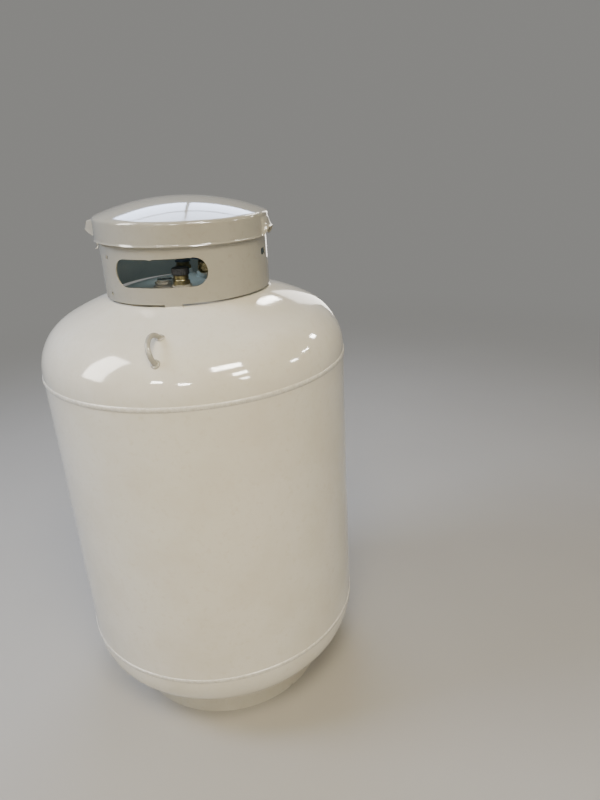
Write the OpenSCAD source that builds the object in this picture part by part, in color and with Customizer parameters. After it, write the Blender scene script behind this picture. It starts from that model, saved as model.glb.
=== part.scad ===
// Upright pressure tank for liquefied gas: a welded steel vessel with dished heads on a foot ring.
// A rolled collar with a hand window guards the valves, under a domed lid on a hinge.
// The tank stands on the origin, +Z runs up and the collar's window faces -Y.
// Turns are in degrees about Z, 0 at the window and positive towards +X. Lengths are millimetres.

/* [Vessel] */
// Outside diameter of the shell and the heads
shell_d = 762; // [640:1:900]
// Thickness of the shell and the heads
shell_t = 4.5; // [3:0.5:8]
// Height of the shell between its two girth welds
shell_h = 742; // [300:1:1200]
// Straight flange of each head beside its girth weld
flange_h = 10; // [4:1:40]
// Outside crown radius of the heads
crown_r = 686; // [600:1:800]
// Outside knuckle radius of the heads
knuckle_r = 130; // [80:1:160]
// Height of the bottom head's lowest point over the floor
floor_gap = 21; // [12:1:80]
// Width of the weld beads on the shell
bead_w = 12; // [6:1:20]
// Height of the weld beads on the shell
bead_h = 2.5; // [1:0.5:4]
// Turn of the shell's long seam
seam_turn = -81; // [-180:1:180]

/* [Foot ring] */
// Outside diameter of the foot ring
foot_d = 540; // [420:1:600]
// Thickness of the foot ring
foot_t = 5; // [3:0.5:8]
// Number of vent slots along the ring's top edge
vent_count = 4; // [3:1:6]
// Width of one vent slot, in degrees
vent_span = 66; // [20:1:80]
// Depth of a vent slot below the head
vent_depth = 13; // [6:1:25]
// Turn of the first vent slot's middle
vent_turn = -45; // [-180:1:180]
// Turn of the first drain notch in the lower rim
notch_turn = -36; // [-180:1:180]
// Width of a drain notch at the floor
notch_w = 14; // [6:1:30]
// Size of the fillet weld between ring and head
foot_weld = 5; // [3:0.5:8]

/* [Lifting lugs] */
// Diameter of the bent rod
rod_d = 10; // [8:1:16]
// Radius of the bend's centre line
lug_bend_r = 33; // [24:1:40]
// Distance from the shell's outside in to the middle of a lug
lug_inset = 52; // [46:1:90]
// Height of the bend's centre over the head
lug_rise = -4; // [-10:1:10]
// Turn of the first lug, with the other one opposite
lug_turn = 5.5; // [-20:0.5:20]

/* [Valve collar] */
// Outside diameter of the collar
collar_d = 402; // [360:1:460]
// Thickness of the collar's sheet
collar_t = 3; // [2:0.5:5]
// Height of the collar's wall
collar_h = 169; // [150:1:220]
// Gap between the collar's lower edge and the head
collar_gap = 5; // [3:1:12]
// Turn of the first of the four butt joints between the collar's plates
plate_turn = -38; // [-38.5:0.5:-37]
// Width of the foot on which each plate stands
tab_w = 40; // [20:1:70]
// Turn of the front plate's foot, with the others a quarter turn apart
tab_turn = 8; // [-45:1:45]
// Width of the window from end to end, in degrees
window_span = 65; // [40:1:90]
// Height of the window
window_h = 63; // [40:1:80]
// Height of the window's middle over the collar's lower edge
window_rise = 70; // [50:1:85]
// Width of the latch slot
slot_w = 30; // [18:1:50]
// Height of the latch slot
slot_h = 16; // [8:1:24]
// Height of the latch slot's middle over the collar's lower edge
slot_rise = 87; // [60:1:100]
// Turn of the latch slot's middle
slot_turn = 84; // [80:1:92]

/* [Bracket holes] */
// Diameter of the four holes for a regulator bracket
hole_d = 9.5; // [6:0.5:14]
// Distance between the two columns of holes, along the wall
hole_pitch = 127; // [80:1:160]
// Distance between the two rows of holes
hole_rows = 82.5; // [50:0.5:95]
// Turn of the hole pattern's middle
hole_turn = -60; // [-90:1:-55]
// Height of the hole pattern's middle over the collar's lower edge
hole_rise = 60; // [55:1:75]

/* [Lid] */
// Clearance between the collar and the inside of the lid's skirt
lid_clear = 5; // [2:0.5:8]
// Thickness of the lid's sheet
lid_t = 2; // [1.5:0.5:4]
// Height of the lid's straight skirt
skirt_h = 35; // [20:1:60]
// Outside crown radius of the lid's dome
dome_r = 455; // [380:1:700]
// Outside radius of the lid's rounded edge
edge_r = 8; // [5:0.5:20]
// Gap at which the closed lid rests on the collar
seat_gap = 0.3; // [0.2:0.1:1]

/* [Hoods and hinge] */
// Turn of the hinge, with the latch hood opposite
hinge_turn = -92; // [-110:1:-90]
// How far the lip of the hinge's hood stands out of the skirt
hinge_hood_out = 38; // [34:1:50]
// How far the lip of the latch's hood stands out of the skirt
latch_hood_out = 17; // [14:1:24]
// Width of a hood's outer face
hood_face_w = 56; // [50:1:70]
// Width of a hood where it leaves the skirt
hood_base_w = 96; // [84:1:110]
// Radius of a hood's upright corners
hood_corner_r = 10; // [5:1:14]
// Lean of a hood's face from the upright
hood_lean = 26; // [10:1:28]
// Drop of a hood's roof below the skirt's upper end
hood_drop = 2; // [0:1:10]
// Fall of a hood's roof from the skirt to its face
hood_slope = 7; // [2:1:10]
// Rise of a hood's lower edge from the skirt to its lip
hood_lift = 5; // [0:1:8]
// Distance of the hinge bolt's axis from the collar
pin_out = 14; // [14:1:18]
// Drop of the hinge bolt's axis below the lid's skirt
pin_drop = 12; // [8:1:20]
// Diameter of the hinge bolt
pin_d = 8; // [6:1:10]
// Running clearance on the bolt's radius in the lid's leaf
pin_clear = 0.08; // [0.05:0.01:0.1]
// Width across the flats of the bolt's head and nut
bolt_af = 13; // [10:1:16]
// Width of the leaf on the lid
leaf_w = 24; // [16:1:30]
// Thickness of the leaf and of the bracket's ears
ear_t = 4; // [3:0.5:6]
// Side gap between the leaf and each ear
ear_gap = 1; // [0.5:0.5:2]
// Radius of the ears and the knuckle round the bolt
ear_r = 8; // [7:0.5:8.5]
// Length of the bolt past its nut
bolt_tail = 8; // [2:1:12]

/* [Service valve] */
// Place of the valve, to the right of the axis
service_x = 42; // [30:1:60]
// Place of the valve, behind the axis
service_y = 15; // [0:1:40]
// Turn of the outlet
outlet_turn = 12; // [-10:1:30]
// Diameter of the valve's body
body_d = 36; // [30:1:44]
// Height of the valve's body over its coupling
body_h = 26; // [24:1:40]
// Length of the outlet from the valve's axis
outlet_l = 42; // [34:1:60]
// Outside diameter of the outlet
outlet_d = 30; // [28:1:34]
// Thread bore of the outlet
outlet_bore = 22; // [18:0.5:23]
// Depth of the outlet's thread bore
outlet_depth = 20; // [12:1:22]
// Outside diameter of the handwheel
wheel_d = 68; // [56:1:80]
// Height of the handwheel's rim
wheel_h = 13; // [11:1:18]
// Gap between the valve's body and the handwheel's rim
wheel_lift = 5; // [4:1:16]
// Width of the handwheel's rim
rim_w = 9; // [7:0.5:11]
// Height of the handwheel's web over the rim's lower side
web_rise = 6; // [5:0.5:7]
// Thickness of the handwheel's web
web_t = 4; // [3:0.5:6]
// Number of grips round the handwheel's rim
grips = 8; // [6:1:10]
// Number of windows in the handwheel's web
windows = 5; // [3:1:6]
// Diameter of a window in the handwheel's web
web_window_d = 9; // [6:0.5:10]
// Diameter of the handwheel's hub and of the packing nut under it
hub_d = 22; // [18:1:24]
// Height of the packing nut over the valve's body
bonnet_h = 6; // [3:0.5:6]
// Diameter of the valve's stem
stem_d = 8; // [6:0.5:10]

/* [Other fittings] */
// Outside diameter of the couplings welded into the head
coupling_d = 46; // [42:1:54]
// Height of a coupling over the head
coupling_h = 14; // [6:1:20]
// Height of the hexagon at the foot of a valve
hex_h = 9; // [6:1:12]
// Width over the corners of the hexagon at the foot of a valve
hex_d = 42; // [38:1:46]
// Place of the filler valve, to the right of the axis
filler_x = 21; // [0:1:40]
// Place of the filler valve, behind the axis
filler_y = -109; // [-120:1:-95]
// Diameter of the filler valve's body
filler_d = 36; // [30:1:38]
// Height of the filler valve's body
filler_h = 22; // [16:1:30]
// Diameter of the filler's cap
filler_cap_d = 41; // [38:1:46]
// Height of the filler's cap
filler_cap_h = 16; // [10:1:24]
// Chamfer of the filler's cap
filler_cap_edge = 3; // [1:0.5:4]
// Place of the level gauge, to the right of the axis
gauge_x = -34; // [-70:1:-30]
// Place of the level gauge, behind the axis
gauge_y = -72; // [-90:1:-50]
// Height of the level gauge's pad over the head
gauge_rise = 5; // [5:1:14]
// Width of the level gauge's square plate
gauge_w = 43; // [38:1:52]
// Corner radius of the level gauge's plate
gauge_corner_r = 8; // [3:1:12]
// Thickness of the level gauge's plate
gauge_t = 5; // [3:0.5:8]
// Diameter of the level gauge's dial
dial_d = 36; // [28:1:36]
// Height of the level gauge's dial
dial_h = 4; // [2:0.5:6]
// Thickness of the lens over the dial
lens_t = 3; // [2:0.5:4]
// Place of the relief valve, to the right of the axis
relief_x = -32; // [-90:1:-28]
// Place of the relief valve, behind the axis
relief_y = 58; // [50:1:90]
// Diameter of the relief valve's body
relief_d = 34; // [28:1:38]
// Height of the relief valve's body
relief_h = 18; // [14:1:40]
// Diameter of the relief valve's rain cap
relief_cap_d = 40; // [34:1:44]
// Height of the relief valve's rain cap
relief_cap_h = 5; // [3:0.5:8]

/* [Hidden] */
$fn = 96;
// Facets of the widest rounds and of what is cut to them
fine = 360;

white = "ivory";
brass = "goldenrod";
dark = "darkslategray";
steel = "silver";

// Small overlap that lets a cut pass right through a face
cut = 1;
shell_r = shell_d / 2;
knuckle_a = shell_r - knuckle_r;
crown_drop = sqrt(pow(crown_r - knuckle_r, 2) - pow(knuckle_a, 2));
head_h = flange_h + crown_r - crown_drop;
low_weld_z = floor_gap + head_h;
top_weld_z = low_weld_z + shell_h;
crown_z = top_weld_z + flange_h - crown_drop;
bead_r = (pow(bead_w / 2, 2) + pow(bead_h, 2)) / (2 * bead_h);

// Height of the outside of a head over its girth weld, at the distance r from the axis
crown_end = knuckle_a * crown_r / (crown_r - knuckle_r);
function head_z(r) = flange_h + (r < crown_end
    ? sqrt(crown_r * crown_r - r * r) - crown_drop
    : sqrt(max(0, knuckle_r * knuckle_r - pow(r - knuckle_a, 2))));
// Lean of a head's outside normal at the distance r from the axis
function head_lean(r) = r < crown_end ? asin(r / crown_r) : asin((r - knuckle_a) / knuckle_r);

lug_reach = shell_r - lug_inset;
// Length of a lug's legs below the bend's centre, down through the head's outside
lug_leg = lug_bend_r;
foot_r = foot_d / 2;
foot_z = low_weld_z - head_z(foot_r);
vent_floor_z = foot_z - vent_depth;
web_span = 360 / vent_count - vent_span;

collar_r = collar_d / 2;
collar_z = top_weld_z + head_z(collar_r) + collar_gap;
collar_top = collar_z + collar_h;
tab_span = 2 * asin(tab_w / collar_d);
window_z = collar_z + window_rise;
window_end = window_span / 2 - asin(window_h / collar_d);
hole_span = 2 * asin(hole_pitch / collar_d);

lid_r = collar_r + lid_clear + lid_t;
lid_a = lid_r - edge_r;
edge_in = edge_r - lid_t;
lid_seat = sqrt(max(0, edge_in * edge_in - pow(max(0, collar_r - lid_a), 2)));
skirt_top = collar_top + seat_gap - lid_seat;
skirt_z = skirt_top - skirt_h;
latch_turn = hinge_turn + 180;
hood_roof = skirt_top - hood_drop;
hood_lip_z = skirt_z + hood_lift;
hood_fold_z = hood_roof - hood_slope;
// How far a hood's plan runs past its leaning face
hood_spare = 2;
pin_r = collar_r + pin_out;
pin_z = skirt_z - pin_drop;

// How far a hood's inside is drawn in, level with its leaning face, for a sheet of the thickness t
function hood_in(t) = t * (1 / cos(hood_lean) - tan(hood_lean));
// How far the fold between a hood's roof and its face stands out of the skirt
function fold_out(out, t) = out - hood_in(t) - (hood_fold_z - hood_lip_z) * tan(hood_lean);
leaf_out = norm([pin_r + ear_t / 2, leaf_w / 2]) - lid_r;
leaf_top = hood_roof - lid_t - hood_slope * leaf_out / fold_out(hinge_hood_out, lid_t);
ear_in = leaf_w / 2 + ear_gap;
ear_out = ear_in + ear_t;
bolt_head_h = 5.5;
nut_h = 6.5;

// Height of the crown's outside at a fitting's place
function crown_at(x, y) = crown_z + sqrt(crown_r * crown_r - x * x - y * y);
service_z = crown_at(service_x, service_y) + coupling_h;
filler_z = crown_at(filler_x, filler_y) + coupling_h;
gauge_z = crown_at(gauge_x, gauge_y) + gauge_rise;
relief_z = crown_at(relief_x, relief_y) + coupling_h;
wheel_z = service_z + body_h + wheel_lift;
wheel_r = wheel_d / 2;
web_r = wheel_r - rim_w;
// Radius of the cutter for a grip, how far its centre lies outside the rim, and the hub's height over the rim
grip_r = 9;
grip_out = 5;
hub_over = 5;
hub_top = wheel_z + wheel_h + hub_over;
wheel_nut_h = 5;
wheel_nut_d = 15;
// Length of the stem over the wheel's nut
stem_over = 2;
stem_top = hub_top + seat_gap + wheel_nut_h + stem_over;

// Turns what lies along +X so that it points out of the tank at the turn a
module at_turn(a) rotate([0, 0, a - 90]) children();

// Filled half section of a dished cover: straight to the height f, then a knuckle k and a crown c
module dished_section(r, c, k, f) {
    a = r - k;
    drop = sqrt(pow(c - k, 2) - a * a);
    run = [a, drop] / (c - k);
    square([r, f]);
    intersection() {
        translate([a, f]) circle(k);
        polygon([[a, f], [a + 2 * k, f], [a + 2 * k, f + 2 * k], [a, f] + 2 * k * run]);
    }
    intersection() {
        translate([0, f - drop]) circle(c, $fn = 2 * fine);
        polygon([[0, f], [a, f], [a, f] + 2 * k * run, [0, f - drop + 1.2 * c]]);
    }
}

// The solid that a head fills, from its weld to its crown
module head_solid() rotate_extrude($fn = fine) dished_section(shell_r, crown_r, knuckle_r, flange_h);

module head_shell() {
    rotate_extrude($fn = fine) difference() {
        dished_section(shell_r, crown_r, knuckle_r, flange_h);
        translate([0, -cut])
            dished_section(shell_r - shell_t, crown_r - shell_t, knuckle_r - shell_t, flange_h + cut);
    }
}

module top_head_solid() translate([0, 0, top_weld_z]) head_solid();
module low_head_solid() translate([0, 0, low_weld_z]) mirror([0, 0, 1]) head_solid();

module foot_ring() {
    color(white) difference() {
        cylinder(h = low_weld_z, r = foot_r);
        translate([0, 0, -cut]) cylinder(h = low_weld_z + 2 * cut, r = foot_r - foot_t);
        low_head_solid();
        for (i = [0 : vent_count - 1])
            at_turn(vent_turn + i * 360 / vent_count - vent_span / 2)
                translate([0, 0, vent_floor_z]) rotate_extrude(angle = vent_span)
                    translate([foot_r - foot_t - cut, 0]) square([foot_t + 2 * cut, low_weld_z]);
        for (i = [0 : 3])
            at_turn(notch_turn + i * 90)
                translate([foot_r, 0, 0]) rotate([45, 0, 0])
                    cube([4 * foot_t, notch_w / sqrt(2), notch_w / sqrt(2)], center = true);
    }
}

// Fillet weld on a head that crowns upward from z = 0, along the outside of a wall of radius r
module fillet_weld(r, leg, turn, span) {
    at_turn(turn - span / 2) rotate_extrude(angle = span)
        polygon([[r, head_z(r)], [r + leg, head_z(r + leg)], [r, head_z(r) + leg]]);
}

module foot_welds() {
    color(white) translate([0, 0, low_weld_z]) mirror([0, 0, 1])
        for (i = [0 : vent_count - 1])
            fillet_weld(foot_r, foot_weld, vent_turn + (i + 0.5) * 360 / vent_count, web_span);
}

module bottom_head() color(white) translate([0, 0, low_weld_z]) mirror([0, 0, 1]) head_shell();
module top_head() color(white) translate([0, 0, top_weld_z]) head_shell();

module shell() {
    color(white) translate([0, 0, low_weld_z]) difference() {
        cylinder(h = shell_h, r = shell_r);
        translate([0, 0, -cut]) cylinder(h = shell_h + 2 * cut, r = shell_r - shell_t);
    }
}

// Bead of weld round the shell at the height z
module girth_weld(z) {
    color(white) translate([0, 0, z]) rotate_extrude() intersection() {
        translate([shell_r + bead_h - bead_r, 0]) circle(bead_r);
        translate([shell_r, -bead_w]) square(2 * bead_w);
    }
}

module seam_weld() {
    color(white) difference() {
        at_turn(seam_turn) translate([shell_r + bead_h - bead_r, 0, low_weld_z + bead_w / 2])
            cylinder(h = shell_h - bead_w, r = bead_r);
        translate([0, 0, low_weld_z]) cylinder(h = shell_h, r = shell_r, $fn = 2 * fine);
    }
}

// One bent rod, standing square to the top head in the plane of the tank's axis
module lifting_lug(turn) {
    color(white) difference() {
        at_turn(turn) translate([lug_reach, 0, top_weld_z + head_z(lug_reach)])
            rotate([0, head_lean(lug_reach), 0]) translate([0, 0, lug_rise]) {
                rotate([90, 0, 0]) rotate_extrude(angle = 180) translate([lug_bend_r, 0]) circle(d = rod_d);
                for (side = [-1, 1])
                    translate([side * lug_bend_r, 0, -lug_leg]) cylinder(h = lug_leg, d = rod_d);
            }
        top_head_solid();
    }
}

// Cuts a long slot with round ends that follows the collar's wall
module curved_slot(turn, z, half, h) {
    for (side = [-1, 1])
        at_turn(turn + side * half) translate([0, 0, z]) rotate([0, 90, 0])
            cylinder(h = collar_d, d = h);
    at_turn(turn - half) translate([0, 0, z - h / 2]) rotate_extrude(angle = 2 * half)
        translate([collar_r / 2, 0]) square([collar_r, h]);
}

// Piece of the collar's wall between two turns and two heights, standing proud by the margin m
module wall_piece(start, span, low, high, m) {
    at_turn(start) translate([0, 0, low]) rotate_extrude(angle = span)
        translate([collar_r - collar_t - m, 0]) square([collar_t + 2 * m, high - low]);
}

// One quarter of the collar's wall, standing on its own foot
module collar_plate(quarter) {
    start = plate_turn + quarter * 90;
    foot = tab_turn + quarter * 90;
    root = collar_z - collar_gap - cut;
    difference() {
        wall_piece(start, 90, root, collar_top, 0);
        wall_piece(start - tab_span, foot - start + tab_span / 2, root - cut, collar_z, cut);
        wall_piece(foot + tab_span / 2, start + 90 - foot + tab_span / 2, root - cut, collar_z, cut);
        top_head_solid();
    }
}

module collar_front_plate() {
    color(white) difference() {
        collar_plate(0);
        curved_slot(0, window_z, window_end, window_h);
    }
}

module collar_right_plate() {
    slot_half = asin((slot_w - slot_h) / collar_d);
    color(white) difference() {
        collar_plate(1);
        curved_slot(slot_turn, collar_z + slot_rise, slot_half, slot_h);
    }
}

module collar_rear_plate() color(white) collar_plate(2);

module collar_left_plate() {
    color(white) difference() {
        collar_plate(3);
        for (side = [-1, 1], row = [-1, 1])
            at_turn(hole_turn + side * hole_span / 2)
                translate([0, 0, collar_z + hole_rise + row * hole_rows / 2]) rotate([0, 90, 0])
                    cylinder(h = collar_d, d = hole_d);
    }
}

module collar_foot_welds() {
    color(white) translate([0, 0, top_weld_z])
        for (quarter = [0 : 3])
            fillet_weld(collar_r, collar_t, tab_turn + quarter * 90, tab_span);
}

// Upright round plate with its axis along the hinge bolt, from side 0 to the width w
module hinge_disc(r, w) rotate([-90, 0, 0]) cylinder(h = w, r = r);

module hinge_bracket() {
    color(white) difference() {
        at_turn(hinge_turn) translate([0, 0, pin_z]) {
            for (side = [-ear_out, ear_in])
                translate([0, side, 0]) {
                    translate([pin_r, 0, 0]) hinge_disc(ear_r, ear_t);
                    translate([collar_r / 2, 0, -ear_r]) cube([pin_r - collar_r / 2, ear_t, 2 * ear_r]);
                }
            translate([collar_r / 2, -ear_out, -ear_r]) cube([collar_r / 2 + ear_t, 2 * ear_out, 2 * ear_r]);
        }
        cylinder(h = collar_top, r = collar_r, $fn = fine);
        at_turn(hinge_turn) translate([pin_r, -2 * ear_out, pin_z]) hinge_disc(pin_d / 2, 4 * ear_out);
    }
}

module hinge_bolt() {
    color(steel) at_turn(hinge_turn) translate([pin_r, 0, pin_z]) {
        translate([0, -ear_out, 0]) hinge_disc(pin_d / 2, 2 * ear_out + nut_h + bolt_tail);
        translate([0, -ear_out - bolt_head_h, 0]) rotate([-90, 0, 0])
            cylinder(h = bolt_head_h, d = bolt_af / cos(30), $fn = 6);
    }
}

module hinge_nut() {
    color(steel) at_turn(hinge_turn) translate([pin_r, ear_out, pin_z]) difference() {
        rotate([-90, 0, 0]) cylinder(h = nut_h, d = bolt_af / cos(30), $fn = 6);
        translate([0, -cut, 0]) hinge_disc(pin_d / 2, nut_h + 2 * cut);
    }
}

// Plan of a hood whose lip stands out by the reach, drawn in by the thickness t
module hood_plan(reach, t) {
    front = lid_r + reach + hood_spare - t - hood_corner_r;
    hull() {
        for (side = [-1, 1])
            translate([front, side * (hood_face_w / 2 - t - hood_corner_r)]) circle(hood_corner_r, $fn = 32);
        translate([lid_r - 2 * edge_r, t - hood_base_w / 2]) square([1, hood_base_w - 2 * t]);
    }
}

// Solid of a hood under its sloping roof and behind its leaning face, drawn in by the thickness t
module hood_solid(turn, reach, t) {
    lip = [lid_r + reach - hood_in(t), hood_lip_z - t];
    fold = [lid_r + fold_out(reach, t), hood_fold_z - t];
    intersection() {
        at_turn(turn) translate([0, 0, skirt_z - 2 * lid_t])
            linear_extrude(skirt_h + 2 * lid_t) hood_plan(reach, t);
        rotate_extrude() polygon([[0, skirt_z - t], [lid_r, skirt_z - t], lip, fold,
            [lid_r, hood_roof - t], [0, hood_roof - t]]);
    }
}

// Both hoods, drawn in by the thickness t
module hoods(t) {
    hood_solid(hinge_turn, hinge_hood_out, t);
    hood_solid(latch_turn, latch_hood_out, t);
}

module lid() {
    color(white) difference() {
        union() {
            translate([0, 0, skirt_z]) rotate_extrude() dished_section(lid_r, dome_r, edge_r, skirt_h);
            hoods(0);
        }
        translate([0, 0, skirt_z - cut]) rotate_extrude()
            dished_section(lid_r - lid_t, dome_r - lid_t, edge_in, skirt_h + cut);
        hoods(lid_t);
    }
}

module hinge_leaf() {
    color(white) at_turn(hinge_turn) translate([pin_r, -leaf_w / 2, pin_z]) difference() {
        union() {
            hinge_disc(ear_r, leaf_w);
            translate([-ear_t / 2, 0, 0]) cube([ear_t, leaf_w, leaf_top - pin_z]);
        }
        translate([0, -cut, 0]) hinge_disc(pin_d / 2 + pin_clear, leaf_w + 2 * cut);
    }
}

// Round coupling welded to the crown at the place x, y, with its top at the height z
module coupling(x, y, z) {
    color(white) difference() {
        translate([x, y, top_weld_z]) cylinder(h = z - top_weld_z, d = coupling_d);
        top_head_solid();
    }
}

module service_coupling() coupling(service_x, service_y, service_z);
module filler_coupling() coupling(filler_x, filler_y, filler_z);
module gauge_coupling() coupling(gauge_x, gauge_y, gauge_z);
module relief_coupling() coupling(relief_x, relief_y, relief_z);

module service_valve() {
    color(brass) translate([service_x, service_y, service_z]) difference() {
        union() {
            cylinder(h = hex_h, d = hex_d, $fn = 6);
            cylinder(h = body_h, d = body_d);
            at_turn(outlet_turn) translate([0, 0, body_h / 2]) rotate([0, 90, 0])
                intersection() {
                    cylinder(h = outlet_l, d = outlet_d);
                    translate([0, 0, outlet_l / 2]) cube([body_h, 2 * outlet_d, outlet_l], center = true);
                }
        }
        at_turn(outlet_turn) translate([outlet_l - outlet_depth, 0, body_h / 2]) rotate([0, 90, 0])
            cylinder(h = outlet_depth + cut, d = outlet_bore);
    }
}

module valve_bonnet() {
    color(brass) translate([service_x, service_y, service_z + body_h]) difference() {
        cylinder(h = bonnet_h, d = hub_d, $fn = 6);
        translate([0, 0, -cut]) cylinder(h = bonnet_h + 2 * cut, d = stem_d);
    }
}

module valve_stem() {
    color(steel) translate([service_x, service_y, service_z + body_h])
        cylinder(h = stem_top - service_z - body_h, d = stem_d);
}

// Cuts the grips out of the handwheel's rim and the windows out of its web
module wheel_cuts() {
    for (i = [0 : grips - 1])
        rotate([0, 0, i * 360 / grips]) translate([wheel_r + grip_out, 0, -cut])
            cylinder(h = wheel_h + 2 * cut, r = grip_r);
    for (i = [0 : windows - 1])
        rotate([0, 0, (i + 0.5) * 360 / windows]) translate([(hub_d / 2 + web_r) / 2, 0, -cut])
            cylinder(h = wheel_h + 2 * cut, d = web_window_d);
}

// Cast wheel: a gripped rim, a pierced web set into it and a hub that rises over it
module handwheel() {
    color(dark) translate([service_x, service_y, wheel_z]) difference() {
        union() {
            difference() {
                cylinder(h = wheel_h, r = wheel_r);
                translate([0, 0, -cut]) cylinder(h = wheel_h + 2 * cut, r = web_r);
            }
            translate([0, 0, web_rise]) cylinder(h = web_t, r = web_r + cut);
            translate([0, 0, web_rise]) cylinder(h = wheel_h + hub_over - web_rise, d = hub_d);
        }
        wheel_cuts();
        translate([0, 0, -cut]) cylinder(h = wheel_h + hub_over + 2 * cut, d = stem_d + 2 * pin_clear);
    }
}

module wheel_nut() {
    color(steel) translate([service_x, service_y, hub_top + seat_gap]) difference() {
        cylinder(h = wheel_nut_h, d = wheel_nut_d, $fn = 6);
        translate([0, 0, -cut]) cylinder(h = wheel_nut_h + 2 * cut, d = stem_d);
    }
}

// Turned valve body of the diameter d and the height h on the hexagon at its foot
module hex_body(d, h) {
    color(brass) {
        cylinder(h = hex_h, d = hex_d, $fn = 6);
        cylinder(h = h, d = d);
    }
}

module filler_valve() translate([filler_x, filler_y, filler_z]) hex_body(filler_d, filler_h);

module filler_cap() {
    side_h = filler_cap_h - filler_cap_edge;
    color(dark) translate([filler_x, filler_y, filler_z + filler_h]) {
        cylinder(h = side_h, d = filler_cap_d);
        translate([0, 0, side_h])
            cylinder(h = filler_cap_edge, d1 = filler_cap_d, d2 = filler_cap_d - 2 * filler_cap_edge);
    }
}

// Square plate with rounded corners, made of two bars and four posts
module gauge_flange() {
    corner = gauge_w / 2 - gauge_corner_r;
    color(steel) translate([gauge_x, gauge_y, gauge_z]) linear_extrude(gauge_t) {
        square([gauge_w, 2 * corner], center = true);
        square([2 * corner, gauge_w], center = true);
        for (x = [-corner, corner], y = [-corner, corner])
            translate([x, y]) circle(gauge_corner_r);
    }
}

module gauge_dial() {
    color("white") translate([gauge_x, gauge_y, gauge_z + gauge_t]) cylinder(h = dial_h, d = dial_d);
}

module gauge_lens() {
    color("lightblue") translate([gauge_x, gauge_y, gauge_z + gauge_t + dial_h])
        cylinder(h = lens_t, d = dial_d);
}

module relief_valve() translate([relief_x, relief_y, relief_z]) hex_body(relief_d, relief_h);

module relief_cap() {
    color(dark) translate([relief_x, relief_y, relief_z + relief_h])
        cylinder(h = relief_cap_h, d = relief_cap_d);
}

foot_ring();
foot_welds();
bottom_head();
girth_weld(low_weld_z);  // lower_girth_weld
shell();
seam_weld();
girth_weld(top_weld_z);  // upper_girth_weld
top_head();
lifting_lug(lug_turn);  // front_lifting_lug
lifting_lug(lug_turn + 180);  // rear_lifting_lug
collar_front_plate();
collar_right_plate();
collar_rear_plate();
collar_left_plate();
collar_foot_welds();
hinge_bracket();
hinge_bolt();
hinge_nut();
lid();
hinge_leaf();
service_coupling();
service_valve();
valve_bonnet();
valve_stem();
handwheel();
wheel_nut();
filler_coupling();
filler_valve();
filler_cap();
gauge_coupling();
gauge_flange();
gauge_dial();
gauge_lens();
relief_coupling();
relief_valve();
relief_cap();
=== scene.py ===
# %% [markdown]
# # An upright gas tank in white enamel
# This lesson dresses the plain model of a welded steel tank for liquefied gas. The plain model fixes where
# every piece is and how the lid and the handwheel move. Here each piece gets the shape and finish that the
# eye expects: rippled weld beads, rolled and pressed sheet, turned brass and a glossy paint with a little
# orange peel. The sizes of pieces are in millimetres, and the camera and the lamps stand in metres.

# %% Load the plain model
from math import asin, atan2, copysign, cos, degrees, exp, hypot, log, pi, radians, sin, sqrt, tan

import bmesh
import bpy
from mathutils import Matrix, Vector, noise


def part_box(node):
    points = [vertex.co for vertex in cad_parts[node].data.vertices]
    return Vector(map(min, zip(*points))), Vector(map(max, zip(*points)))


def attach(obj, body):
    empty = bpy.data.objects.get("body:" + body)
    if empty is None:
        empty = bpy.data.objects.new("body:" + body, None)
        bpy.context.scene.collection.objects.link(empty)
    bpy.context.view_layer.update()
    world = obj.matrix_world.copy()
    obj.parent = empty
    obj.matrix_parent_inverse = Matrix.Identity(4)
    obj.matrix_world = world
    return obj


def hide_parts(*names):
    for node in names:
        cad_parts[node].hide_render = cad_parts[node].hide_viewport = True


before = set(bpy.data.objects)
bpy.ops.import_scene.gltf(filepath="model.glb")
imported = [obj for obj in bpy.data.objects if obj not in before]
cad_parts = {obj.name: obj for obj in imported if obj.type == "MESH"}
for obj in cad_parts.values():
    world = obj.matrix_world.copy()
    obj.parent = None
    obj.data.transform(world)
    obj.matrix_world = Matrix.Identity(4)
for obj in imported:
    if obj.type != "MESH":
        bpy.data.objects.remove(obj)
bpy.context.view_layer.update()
MM = 0.001
UP = Vector((0, 0, 1))

# %% [markdown]
# ## Camera first
# The photograph's viewpoint lies a little to the right of the tank's window and 1.45 m over the floor, tipped
# down and slightly rolled. The focal length is given for a picture 600 pixels wide, so the lens follows from
# the sensor's width. Building the camera's axes by hand keeps the roll exact.

# %% The camera at the photograph's viewpoint
CAMERA_AT = Vector((0.5346, -1.4768, 1.4488))
HEADING = radians(-10.34)
PITCH = radians(22.32)
ROLL = radians(3.18)
PICTURE_WIDTH = 600
FOCAL_PIXELS = 616.85
SENSOR_WIDTH = 36.0


def in_scene(name, data):
    """Makes an object from its data and puts it into the scene."""
    made = bpy.data.objects.new(name, data)
    bpy.context.scene.collection.objects.link(made)
    return made


forward = Vector((sin(HEADING) * cos(PITCH), cos(HEADING) * cos(PITCH), -sin(PITCH)))
level_right = forward.cross(UP).normalized()
level_down = forward.cross(level_right)
right = level_right * cos(ROLL) + level_down * sin(ROLL)
down = level_down * cos(ROLL) - level_right * sin(ROLL)

camera = in_scene("camera", bpy.data.cameras.new("camera"))
camera.matrix_world = Matrix.Translation(CAMERA_AT) @ Matrix((right, -down, -forward)).transposed().to_4x4()
camera.data.sensor_fit = "HORIZONTAL"
camera.data.sensor_width = SENSOR_WIDTH
camera.data.lens = camera.data.sensor_width * FOCAL_PIXELS / PICTURE_WIDTH
bpy.context.scene.camera = camera
print("lens:", round(camera.data.lens, 2), "mm")

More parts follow.
